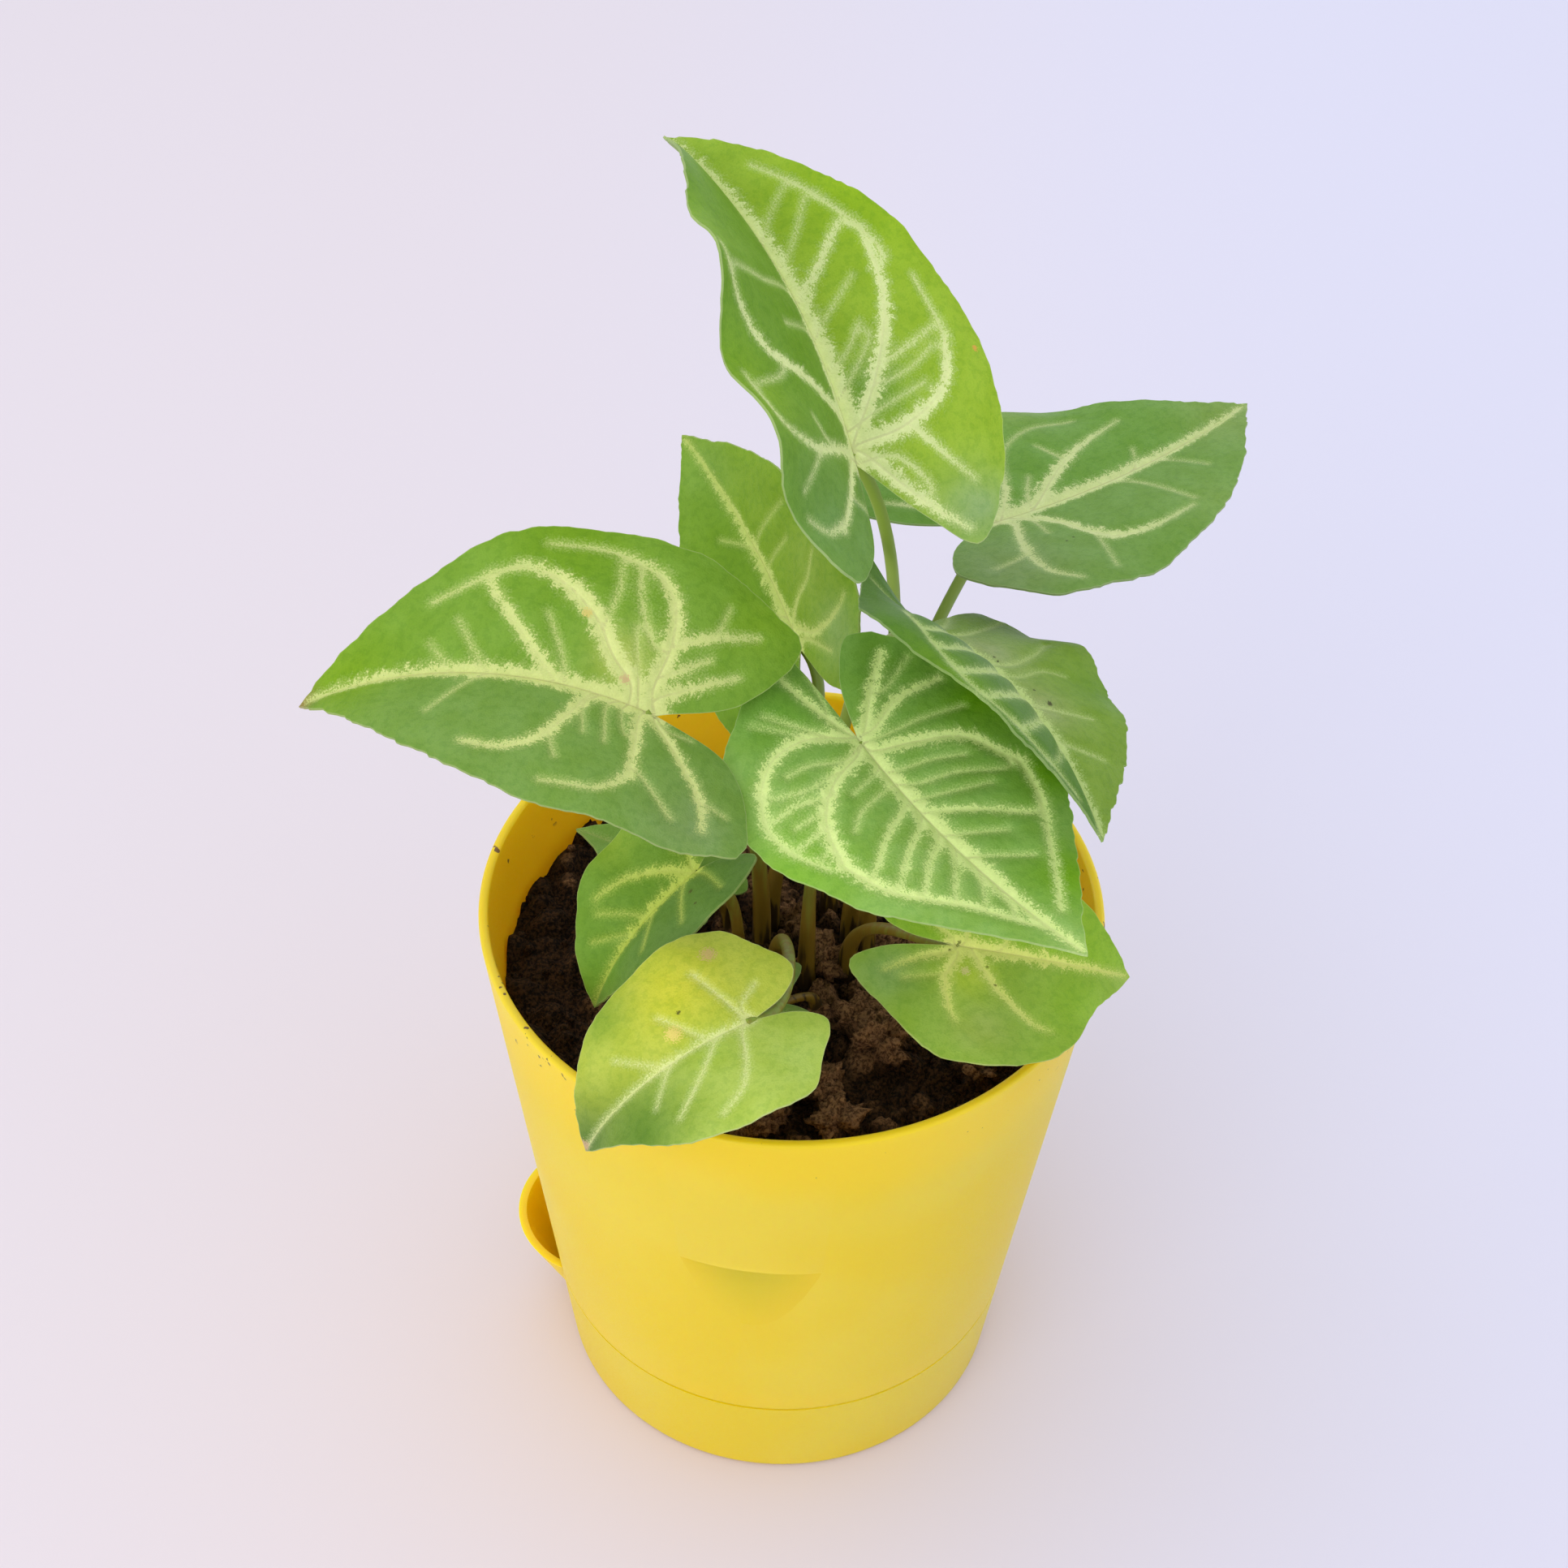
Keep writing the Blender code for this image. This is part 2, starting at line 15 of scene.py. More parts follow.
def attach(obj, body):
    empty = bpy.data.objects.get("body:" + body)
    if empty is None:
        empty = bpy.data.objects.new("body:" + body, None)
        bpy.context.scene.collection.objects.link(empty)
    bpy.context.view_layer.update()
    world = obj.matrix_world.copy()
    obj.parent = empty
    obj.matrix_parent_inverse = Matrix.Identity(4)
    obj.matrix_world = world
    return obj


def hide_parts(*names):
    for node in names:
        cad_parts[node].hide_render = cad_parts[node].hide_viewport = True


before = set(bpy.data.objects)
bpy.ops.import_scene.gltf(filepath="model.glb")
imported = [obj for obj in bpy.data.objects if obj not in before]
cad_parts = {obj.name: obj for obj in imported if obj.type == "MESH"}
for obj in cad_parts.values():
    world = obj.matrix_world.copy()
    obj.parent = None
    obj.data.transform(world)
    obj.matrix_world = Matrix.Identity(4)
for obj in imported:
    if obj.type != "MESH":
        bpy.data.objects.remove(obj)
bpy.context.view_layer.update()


# Base tray. A shallow tapered cup of moulded polypropylene that holds the water. A half-round
# filling ear stands out at its left, open at the top. The pot's foot hangs inside the cup.
MM = 0.001
TURN_STEPS = 144
POT_HEIGHT = 120.0
RIM_RADIUS = 57.5
BASE_RADIUS = 43.5
SEAM_Z = 24.0
TRAY_WALL = 1.6
TRAY_FLOOR = 2.0
TRAY_ROUND = 1.6
EAR_HEADING = math.radians(177)
EAR_CENTRE = 37.0
EAR_RADIUS = 17.4
EAR_TAPER = 0.425
EAR_WALL = 1.6
EAR_FOOT_Z = 3.0
LIP_ROUND = 0.35
OVERCUT = 2.0


def outer_radius(z):
    """Radius of the shared straight taper of tray and pot at height z."""
    return BASE_RADIUS + (RIM_RADIUS - BASE_RADIUS) * z / POT_HEIGHT


def arc(radius, z, bend, first, last, steps=5):
    """Profile points of a rounded corner, bend its own radius, angles in degrees."""
    points = []
    for i in range(steps + 1):
        turn = math.radians(first + (last - first) * i / steps)
        points.append((radius + bend * math.cos(turn), z + bend * math.sin(turn)))
    return points


def turned(name, profile):
    """Closed round body: a disc drawn out ring by ring along (radius, height) points."""
    bpy.ops.object.select_all(action="DESELECT")
    radius, z = profile[0]
    bpy.ops.mesh.primitive_circle_add(
        vertices=TURN_STEPS, radius=radius * MM, fill_type="NGON", location=(0, 0, z * MM))
    piece = bpy.context.object
    piece.name = name
    bpy.ops.object.transform_apply(location=True, rotation=True, scale=True)
    bpy.ops.object.mode_set(mode="EDIT")
    for wide, high in profile[1:]:
        bpy.ops.mesh.extrude_region_move(
            TRANSFORM_OT_translate={"value": (0, 0, (high - z) * MM)})
        bpy.ops.transform.resize(
            value=(wide / radius, wide / radius, 1), center_override=(0, 0, high * MM))
        radius, z = wide, high
    bpy.ops.mesh.select_all(action="SELECT")
    bpy.ops.mesh.normals_make_consistent(inside=False)
    bpy.ops.object.mode_set(mode="OBJECT")
    return piece


def upright_cone(x, y, low_z, high_z, low_radius, high_radius, steps=96):
    """Round body that stands upright, for an ear, a hole or a hollow."""
    bpy.ops.object.select_all(action="DESELECT")
    bpy.ops.mesh.primitive_cone_add(
        vertices=steps, radius1=low_radius * MM, radius2=high_radius * MM,
        depth=(high_z - low_z) * MM, location=(x * MM, y * MM, (low_z + high_z) / 2 * MM))
    bpy.ops.object.transform_apply(location=True, rotation=True, scale=True)
    return bpy.context.object


def finish_step(piece, kind, **settings):
    """Adds one modifier to a piece and applies it."""
    bpy.ops.object.select_all(action="DESELECT")
    bpy.context.view_layer.objects.active = piece
    piece.select_set(True)
    bpy.ops.object.modifier_add(type=kind)
    step = piece.modifiers[-1]
    for setting, value in settings.items():
        setattr(step, setting, value)
    bpy.ops.object.modifier_apply(modifier=step.name)


def combine(piece, tool, operation="DIFFERENCE"):
    """Joins a piece with a tool or cuts it, and uses the tool up."""
    finish_step(piece, "BOOLEAN", operation=operation, object=tool, solver="EXACT")
    bpy.data.objects.remove(tool, do_unlink=True)


def smooth_by_angle(piece, angle=35):
    bpy.ops.object.select_all(action="DESELECT")
    bpy.context.view_layer.objects.active = piece
    piece.select_set(True)
    bpy.ops.object.shade_smooth_by_angle(angle=math.radians(angle))


def declare(piece, node):
    """The piece rides on the plant's one body and stands for a CAD node."""
    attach(piece, "root")
    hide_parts(node)


class Paint:
    """A material whose colour is built up step by step, each step a node or two."""

    def __init__(self, name):
        self.made = bpy.data.materials.new(name)
        self.made.use_nodes = True
        self.tree = self.made.node_tree
        self.shader = self.tree.nodes["Principled BSDF"]

    def link(self, value, socket):
        """A socket takes another node's output or a plain value."""
        if isinstance(value, bpy.types.NodeSocket):
            self.tree.links.new(value, socket)
        else:
            socket.default_value = value

    def node(self, kind, inputs=None, **settings):
        made = self.tree.nodes.new("ShaderNode" + kind)
        for setting, value in settings.items():
            setattr(made, setting, value)
        for key, value in (inputs or {}).items():
            self.link(value, made.inputs[key])
        return made

    def surface(self, **values):
        """Sets the shader's sockets, underscores in place of spaces."""
        for key, value in values.items():
            self.link(value, self.shader.inputs[key.replace("_", " ")])

    def place(self):
        return self.node("TexCoord").outputs["Object"]

    def axis(self, place, name):
        """One coordinate of a place."""
        return self.node("SeparateXYZ", {0: place}).outputs[name]

    def follow(self, name):
        """A value that the mesh carries at each of its points."""
        return self.node("Attribute", attribute_name=name).outputs["Fac"]

    def speckle(self, where, scale, detail=2.0, rough=0.5):
        """Noise between about 0.3 and 0.7, scale in steps for each unit of where."""
        return self.node("TexNoise", {
            "Vector": where, "Scale": scale, "Detail": detail, "Roughness": rough,
        }).outputs["Fac"]

    def reckon(self, kind, a, b):
        return self.node("Math", {0: a, 1: b}, operation=kind).outputs[0]

    def sum(self, a, b):
        return self.reckon("ADD", a, b)

    def product(self, a, b):
        return self.reckon("MULTIPLY", a, b)

    def ramp(self, value, low, high, start=0.0, end=1.0):
        """Goes softly from start to end as value goes from low to high."""
        return self.node("MapRange", {
            "Value": value, "From Min": low, "From Max": high, "To Min": start, "To Max": end,
        }, interpolation_type="SMOOTHSTEP").outputs[0]

    def mix(self, share, under, over, kind="MIX"):
        made = self.node("Mix", data_type="RGBA", blend_type=kind)
        sockets = [s for s in made.inputs if s.enabled]
        for socket, value in zip(sockets, (share, under, over)):
            self.link(value, socket)
        return [s for s in made.outputs if s.enabled][0]

    def bump(self, height, distance, strength):
        """Relief of the surface, distance in millimetres for a height of 1."""
        return self.node("Bump", {
            "Height": height, "Distance": distance * MM, "Strength": strength,
        }).outputs["Normal"]


YELLOW = (0.91, 0.565, 0.008, 1)
WORN_YELLOW = (0.91, 0.59, 0.030, 1)
DIRT = (0.16, 0.09, 0.03, 1)
DIRT_FADE = 2.0
NO_DIRT_Z = 200.0       # above the whole pot


def yellow_plastic(name, dirt_z, wear_and_shade=WORN_YELLOW):
    """Satin moulded plastic with a fine grain, faded patches of a second yellow and specks of
    soil above dirt_z. On the pot's flat the second yellow is darker: painted shade.
    """
    paint = Paint(name)
    place = paint.place()
    fade_and_shade_patches = paint.ramp(paint.speckle(place, 22.0), 0.40, 0.66)
    # Patches of the second yellow: faded plastic on the pot and tray, painted shade on the flat.
    colour = paint.mix(fade_and_shade_patches, YELLOW, wear_and_shade)
    grain = paint.speckle(place, 2600.0)
    high = paint.axis(place, "Z")
    patches = paint.ramp(paint.speckle(place, 45.0), 0.45, 0.62, 0.0, 0.06)
    specks = paint.sum(paint.speckle(place, 420.0), patches)
    dirt = paint.ramp(specks, 0.730, 0.745)
    dirt = paint.product(dirt, paint.ramp(high, dirt_z * MM, (dirt_z + DIRT_FADE) * MM))
    colour = paint.mix(dirt, colour, DIRT)
    paint.surface(
        Base_Color=colour, Roughness=paint.ramp(grain, 0.3, 0.7, 0.36, 0.48),
        Normal=paint.bump(grain, 0.04, 0.5), Specular_IOR_Level=0.35,
        Subsurface_Weight=0.8, Subsurface_Radius=(7.0, 5.0, 0.5), Subsurface_Scale=MM)
    return paint.made


tray = turned("tray_moulding", [
    (BASE_RADIUS - TRAY_ROUND, 0),
    *arc(outer_radius(TRAY_ROUND) - TRAY_ROUND, TRAY_ROUND, TRAY_ROUND, -90, 0)[1:],
    (outer_radius(SEAM_Z), SEAM_Z),
])
ear_x = EAR_CENTRE * math.cos(EAR_HEADING)
ear_y = EAR_CENTRE * math.sin(EAR_HEADING)
ear_foot = EAR_RADIUS - EAR_TAPER * (SEAM_Z - EAR_FOOT_Z)
combine(tray, upright_cone(
    ear_x, ear_y, EAR_FOOT_Z, SEAM_Z, ear_foot, EAR_RADIUS), "UNION")
combine(tray, upright_cone(
    ear_x, ear_y, EAR_FOOT_Z + EAR_WALL, SEAM_Z + OVERCUT,
    ear_foot - EAR_WALL + EAR_TAPER * EAR_WALL, EAR_RADIUS - EAR_WALL + EAR_TAPER * OVERCUT))
combine(tray, turned("tray_hollow", [
    (outer_radius(TRAY_FLOOR) - TRAY_WALL, TRAY_FLOOR),
    (outer_radius(SEAM_Z + OVERCUT) - TRAY_WALL, SEAM_Z + OVERCUT),
]))
finish_step(tray, "BEVEL", width=LIP_ROUND * MM, segments=2, limit_method="ANGLE",
            angle_limit=math.radians(50))
smooth_by_angle(tray)
tray.data.materials.append(yellow_plastic("tray_plastic", NO_DIRT_Z))
declare(tray, "base_tray")


# Pot. The same moulded plastic, one shell: its foot steps in and hangs in the tray on a narrow
# seat, its floor has drain holes, and a slotted well in the middle reaches into the water. A
# shallow flat with a straight top edge is moulded into its front.
POT_WALL = 1.8
RIM_ROUND = 0.7
CLEAR = 0.3
SPIGOT_Z = 15.0
FLOOR_THICK = 1.8
WELL_RADIUS = 11.0
WELL_TAPER = 1.0
WELL_FOOT_Z = 2.6
WELL_WALL = 1.6
DRAIN_HOLES = 8
DRAIN_RING = 27.0
DRAIN_RADIUS = 2.0
DRAIN_STEPS = 24
SLOT_BARS = 2
SLOT_WIDTH = 3.0
SLOT_HEIGHT = 7.0
SLOT_TURN = math.radians(12)
FLAT_TURN = math.radians(-6)
FLAT_TOP_Z = 77.0
FLAT_FOOT_Z = 57.6
FLAT_WIDTH = 26.0
FLAT_DEPTH = 1.2
FLAT_STEPS = 24
CUTTER_WIDTH = 1.5 * FLAT_WIDTH
POT_DIRT_Z = 108.0
SHADED_FLAT_YELLOW = (0.86, 0.52, 0.003, 1)    # painted shade of the flat, used in place of the faded yellow

floor_top = SPIGOT_Z + FLOOR_THICK
seat_z = SEAM_Z + CLEAR
step_z = seat_z + 2 * POT_WALL
spigot_radius = outer_radius(SPIGOT_Z) - TRAY_WALL - CLEAR
bore = spigot_radius - POT_WALL
well_foot = WELL_RADIUS - WELL_TAPER
well_floor_z = WELL_FOOT_Z + WELL_WALL
rim_z = POT_HEIGHT - RIM_ROUND
pot = turned("pot_moulding", [
    (well_foot, WELL_FOOT_Z),
    (WELL_RADIUS, SPIGOT_Z),
    (spigot_radius, SPIGOT_Z),
    (spigot_radius, seat_z),
    (outer_radius(seat_z) - LIP_ROUND, seat_z),
    (outer_radius(seat_z + LIP_ROUND), seat_z + LIP_ROUND),
    *arc(RIM_RADIUS - RIM_ROUND, rim_z, RIM_ROUND, 0, 90),
    *arc(RIM_RADIUS - POT_WALL + RIM_ROUND, rim_z, RIM_ROUND, 90, 180),
    (outer_radius(step_z) - POT_WALL, step_z),
    (bore, seat_z + POT_WALL),
    (bore, floor_top),
    (WELL_RADIUS - WELL_WALL, floor_top),
    (well_foot - WELL_WALL, well_floor_z),
])
for i in range(DRAIN_HOLES):
    angle = math.tau * (i + 0.5) / DRAIN_HOLES
    combine(pot, upright_cone(
        DRAIN_RING * math.cos(angle), DRAIN_RING * math.sin(angle),
        SPIGOT_Z - OVERCUT, floor_top + OVERCUT, DRAIN_RADIUS, DRAIN_RADIUS, DRAIN_STEPS))
for i in range(SLOT_BARS):
    bpy.ops.object.select_all(action="DESELECT")
    bpy.ops.mesh.primitive_cube_add(
        size=1, location=(0, 0, (well_floor_z + SLOT_HEIGHT / 2) * MM),
        rotation=(0, 0, math.pi * i / SLOT_BARS + SLOT_TURN),
        scale=(2 * (WELL_RADIUS + OVERCUT) * MM, SLOT_WIDTH * MM, SLOT_HEIGHT * MM))
    bpy.ops.object.transform_apply(location=True, rotation=True, scale=True)
    combine(pot, bpy.context.object)

# The flat's cutter starts as a wide shallow curve and is pushed out through the pot's front.
# The faces that it cuts take its own plastic, the pot's second material, whose darker
# yellow is painted shade.
bpy.ops.object.select_all(action="DESELECT")
bpy.ops.mesh.primitive_grid_add(x_subdivisions=FLAT_STEPS, y_subdivisions=1, size=1)
flat = bpy.context.object
for vert in flat.data.vertices:
    high = vert.co.y > 0
    z = FLAT_TOP_Z if high else FLAT_FOOT_Z
    x = vert.co.x * CUTTER_WIDTH
    wall = outer_radius(z)
    bulge = 0.5 / wall - FLAT_DEPTH / (FLAT_WIDTH / 2) ** 2
    y = wall - (FLAT_DEPTH if high else 0.0) - bulge * x * x
    vert.co = Vector((x, -y, z)) * MM
bpy.ops.object.mode_set(mode="EDIT")
bpy.ops.mesh.select_all(action="SELECT")
bpy.ops.mesh.extrude_region_move(TRANSFORM_OT_translate={"value": (0, -4 * OVERCUT * MM, 0)})
bpy.ops.mesh.select_all(action="SELECT")
bpy.ops.mesh.quads_convert_to_tris()
bpy.ops.mesh.normals_make_consistent(inside=False)
bpy.ops.object.mode_set(mode="OBJECT")
flat.data.transform(Matrix.Rotation(FLAT_TURN, 4, "Z"))
for plastic in (
        yellow_plastic("pot_plastic", POT_DIRT_Z),
        yellow_plastic("flat_shaded_plastic", POT_DIRT_Z, SHADED_FLAT_YELLOW)):
    pot.data.materials.append(plastic)
    flat.data.materials.append(plastic)
for face in flat.data.polygons:
    face.material_index = 1
combine(pot, flat)
smooth_by_angle(pot, 25)
declare(pot, "pot")


# Soil. Dark peat potting mix with bark crumbs, poured into the pot down to the well's foot. Its
# top is a loose bed: a finely broken surface of clods and cracks, with lumps lying in it.
SOIL_Z = 105.0
SOIL_EDGE_DROP = 3.0
SOIL_GRID = 130
BED_DEPTH = 12.0
CRUMBS = 450
CLODS = 48
SOIL_SEED = 5
LUMP_BULGES = ((1.0, 1.7), (0.55, 4), (0.3, 9))
LUMP_STRETCH = (0.6, 1.2)
LUMP_RISE = 0.3         # height of a lump's middle above the bed, share of its size
# Relief of the bed: height in mm, steps for each mm, and the number of the pattern. Lumps also
# have the level of the pattern that lies at the bed's own height, after their height.
SWELL = (1.6, 0.11, 3)
WARP = (1.6, 0.35, 6)
GRAIN = (0.35, 2.2, 5)
LUMPS = ((1.2, 0.55, 0.42, 1), (0.5, 0.5, 1.05, 8))
CLOD_HEIGHT = 3.4
CLOD_SINK = 1.9
CLOD_PATTERN = (0.15, 1)
CRACK_SLOPE = 2.2
# Bed colours, partly the peat's own: painted shade low down and in hollows, painted light on tops.
DAMP_SHADED_HOLLOW = (0.008, 0.004, 0.002, 1)
DAMP_SHADED_CRUMB = (0.08, 0.036, 0.013, 1)
DRY_SHADED_HOLLOW = (0.10, 0.044, 0.016, 1)
DRY_LIT_CRUMB = (0.38, 0.20, 0.09, 1)
LIT_DRY_FROM_Z = 104.0
LIT_DRY_TO_Z = 107.5
soil_edge_z = SOIL_Z - SOIL_EDGE_DROP
soil_radius = outer_radius(soil_edge_z) - POT_WALL - CLEAR


def layered(spot, layers):
    """Noise of several finenesses at a place, each layer a share and its steps."""
    total = 0.0
    for share, steps in layers:
        total += share * noise.noise(spot * steps)
    return total


def swelling(x, y, height, steps, pattern):
    """Soft uneven relief at a place."""
    return height * noise.noise(Vector((x * steps, y * steps, pattern)))


def nearest_cells(x, y, steps, pattern):
    """How far a place is from the two nearest centres of a pattern of cells."""
    gaps, _ = noise.voronoi(Vector((x * steps, y * steps, pattern)))
    return gaps[0], gaps[1]


def soil_height(x, y):
    """Height of the bed at a place: lower at its edge, swelling, and broken by cracks into
    clods, with lumps and grain on them."""
    out = min(math.hypot(x, y) / soil_radius, 1.0)
    z = SOIL_Z - SOIL_EDGE_DROP * out ** 6
    z += swelling(x, y, *SWELL)
    warp = swelling(x, y, *WARP)
    nearest, second = nearest_cells(x + warp, y - warp, *CLOD_PATTERN)
    z += CLOD_HEIGHT * min((second - nearest) * CRACK_SLOPE, 1.0) - CLOD_SINK
    for height, level, steps, pattern in LUMPS:
        z += height * (level - nearest_cells(x, y, steps, pattern)[0])
    return z + swelling(x, y, *GRAIN)


soil = turned("soil_bed", [
    (well_foot - WELL_WALL - CLEAR, well_floor_z + CLEAR),
    (WELL_RADIUS - WELL_WALL - CLEAR, floor_top + CLEAR),
    (bore - CLEAR, floor_top + CLEAR),
    (bore - CLEAR, seat_z + POT_WALL),
    (outer_radius(step_z) - POT_WALL - CLEAR, step_z),
    (soil_radius, soil_edge_z - 2),
])
bpy.ops.object.select_all(action="DESELECT")
bpy.ops.mesh.primitive_grid_add(x_subdivisions=SOIL_GRID, y_subdivisions=SOIL_GRID, size=2)
bed = bpy.context.object
for vert in bed.data.vertices:
    square = max(abs(vert.co.x), abs(vert.co.y))
    round_off = square / vert.co.xy.length if square else 1.0
    x = vert.co.x * round_off * soil_radius
    y = vert.co.y * round_off * soil_radius
    z = soil_height(x, y)
    vert.co = Vector((x, y, z)) * MM
bpy.ops.object.mode_set(mode="EDIT")
bpy.ops.mesh.select_all(action="SELECT")
bpy.ops.mesh.extrude_region_move(TRANSFORM_OT_translate={"value": (0, 0, -BED_DEPTH * MM)})
bpy.ops.mesh.select_all(action="SELECT")
bpy.ops.mesh.normals_make_consistent(inside=False)
bpy.ops.object.mode_set(mode="OBJECT")


def strewn(steps, count, roughness, sizes, reach):
    """Lumps of one rough shape, modelled once and copied, turned and strewn over the bed."""
    bpy.ops.object.select_all(action="DESELECT")
    bpy.ops.mesh.primitive_ico_sphere_add(subdivisions=steps, radius=1)
    lump = bpy.context.object
    shape = []
    for vert in lump.data.vertices:
        shape.append(vert.co * (1 + roughness * layered(vert.co, LUMP_BULGES)))
    copies = []
    for _ in range(count):
        far = soil_radius * math.sqrt(draw.random()) * reach
        heading = draw.uniform(0, math.tau)
        x = far * math.cos(heading)
        y = far * math.sin(heading)
        size = draw.uniform(*sizes)
        turn = Euler([draw.uniform(0, math.tau) for _ in range(3)]).to_matrix()
        stretch = Matrix.Diagonal([size * draw.uniform(*LUMP_STRETCH) for _ in range(3)])
        place = Vector((x, y, soil_height(x, y) + LUMP_RISE * size))
        copy = lump.copy()
        copy.data = lump.data.copy()
        bpy.context.scene.collection.objects.link(copy)
        for vert, start in zip(copy.data.vertices, shape):
            vert.co = (place + turn @ (stretch @ start)) * MM
        copies.append(copy)
    bpy.data.objects.remove(lump, do_unlink=True)
    return copies


def soil_mix():
    """Dark crumble low down and in the grain's hollows, lighter crumble on what stands up: partly
    the peat's own moist and drier colours, partly painted shade and painted light.
    """
    paint = Paint("soil_mix")
    place = paint.place()
    high = paint.axis(place, "Z")
    crumble = paint.speckle(place, 1400.0, 4.0, 0.65)
    patches = paint.speckle(place, 110.0, 3.0)
    # Painted shade in the grain's hollows and low down, painted light on what stands up.
    damp_shaded = paint.mix(paint.ramp(crumble, 0.40, 0.62), DAMP_SHADED_HOLLOW, DAMP_SHADED_CRUMB)
    risen = paint.sum(high, paint.ramp(patches, 0.35, 0.65, -2.0 * MM, 1.0 * MM))
    dry_lit = paint.mix(paint.ramp(crumble, 0.38, 0.60), DRY_SHADED_HOLLOW, DRY_LIT_CRUMB)
    colour = paint.mix(paint.ramp(risen, LIT_DRY_FROM_Z * MM, LIT_DRY_TO_Z * MM), damp_shaded, dry_lit)
    paint.surface(
        Base_Color=colour, Roughness=0.9, Specular_IOR_Level=0.2,
        Normal=paint.bump(crumble, 1.2, 0.9))
    return paint.made


draw = random.Random(SOIL_SEED)
crumbs = strewn(steps=2, count=CRUMBS, roughness=0.4, sizes=(0.35, 1.1), reach=0.98)
clods = strewn(steps=4, count=CLODS, roughness=0.9, sizes=(2.2, 5.0), reach=0.86)
bpy.ops.object.select_all(action="DESELECT")
for part in (bed, *crumbs, *clods, soil):
    part.select_set(True)
bpy.context.view_layer.objects.active = soil
bpy.ops.object.join()
bpy.ops.object.shade_smooth()
soil.data.materials.append(soil_mix())
declare(soil, "soil")


# Leaves. Thin arrow-shaped blades, each on its own round green stem out of the soil. The young
# blades are cupped and wavy, green with pale cream bands along their veins.
BLADE_THICK = 0.45
FAN_CENTRE = 0.05       # middle of the blade's rings, ahead of the stem, share of the length
NOTCH = -0.03           # bottom of the notch between the back lobes, share of the length
LARGE_LEAF = 45.0       # longer blades have the finer mesh
LARGE_MESH = (120, 78)  # steps round each half, and rings
SMALL_MESH = (70, 46)
RING_EASE = 0.85        # below 1 the rings lie closer together at the edge
AT_EDGE = 0.499         # past this the grid that a blade starts from has its last ring
OUTLINE_STEPS = 16
RIPPLES = 2.5           # edge waves in a blade's length
FULL_HALF = 0.4         # share of the length from the midrib where ripple and sway are given
SWAY_HEIGHT = 0.5
SWAY_LENGTH = 11.0
EDGE_JAGS = ((1.0, 0.35), (0.7, 1.1))
QUILT_REACH = 1.6       # distance from a vein at which a cushion has risen
HEM_REACH = 3.0         # distance from the edge at which a cushion has risen
GROOVE_DEPTH = 0.12
GROOVE_REACH = 0.45
MARGIN_LIMIT = 12.0
WELD_GAP = 0.002
MIDRIB_END = 0.97
MIDRIB_STEPS = 40
BAND_STEPS = 8
START_REACH = 0.11      # a side vein starts at a vein nearer than this share of the length,
END_REACH = 0.04        # and ends at one nearer than this,
TOUCHING = 0.01         # unless it is nearer than this already
WEBBING = 0.45          # how far bands run together where they meet, mm
FAR = 99.0
TINY = 1e-9
NEXT_BAND = 7.0         # sets the strokes of one band apart from those of the next
HALVES_BLEND = 0.02
PALE_LIFT = 1.12        # lightness of the bands on top of a leaf's own
NERVE_BLUSH = np.array((0.06, 0.01, 0.03))
SMALL_LEAF = 30.0       # shorter blades have thinner stems
STEM_RADII = (1.9, 1.1)
THIN_STEM_RADII = (1.5, 0.8)
STEM_FOOT_Z = 93.0      # how deep the stems stand
STEM_STEPS = 28
STEM_TIP = 0.7
THIN_SHARE = 0.3        # a stem thins over this first share of its way
ROD_SIDES = 16
KEEL_STEPS = 24
KEEL_REACH = 0.95
KEEL_DROP = 0.65        # how far the keel's middle lies under the midrib
KEEL_FOOT = 0.62        # its radius at the joint, share of the stem's
KEEL_LOSS = 0.45        # and what it has lost of that share at its end
STALK_SLOT = 2          # the stalk's place among a leaf's materials
STALK_GREEN = (0.25, 0.36, 0.05, 1)
STALK_OLIVE = (0.24, 0.15, 0.014, 1)
STALK_FOOT = (0.05, 0.030, 0.008, 1)
STALK_TURN_Z = (118.0, 150.0)
FOOT_TURN_Z = (106.0, 112.0)
STREAK_HEIGHT = 6.0     # how far up and down the streaks carry these turns
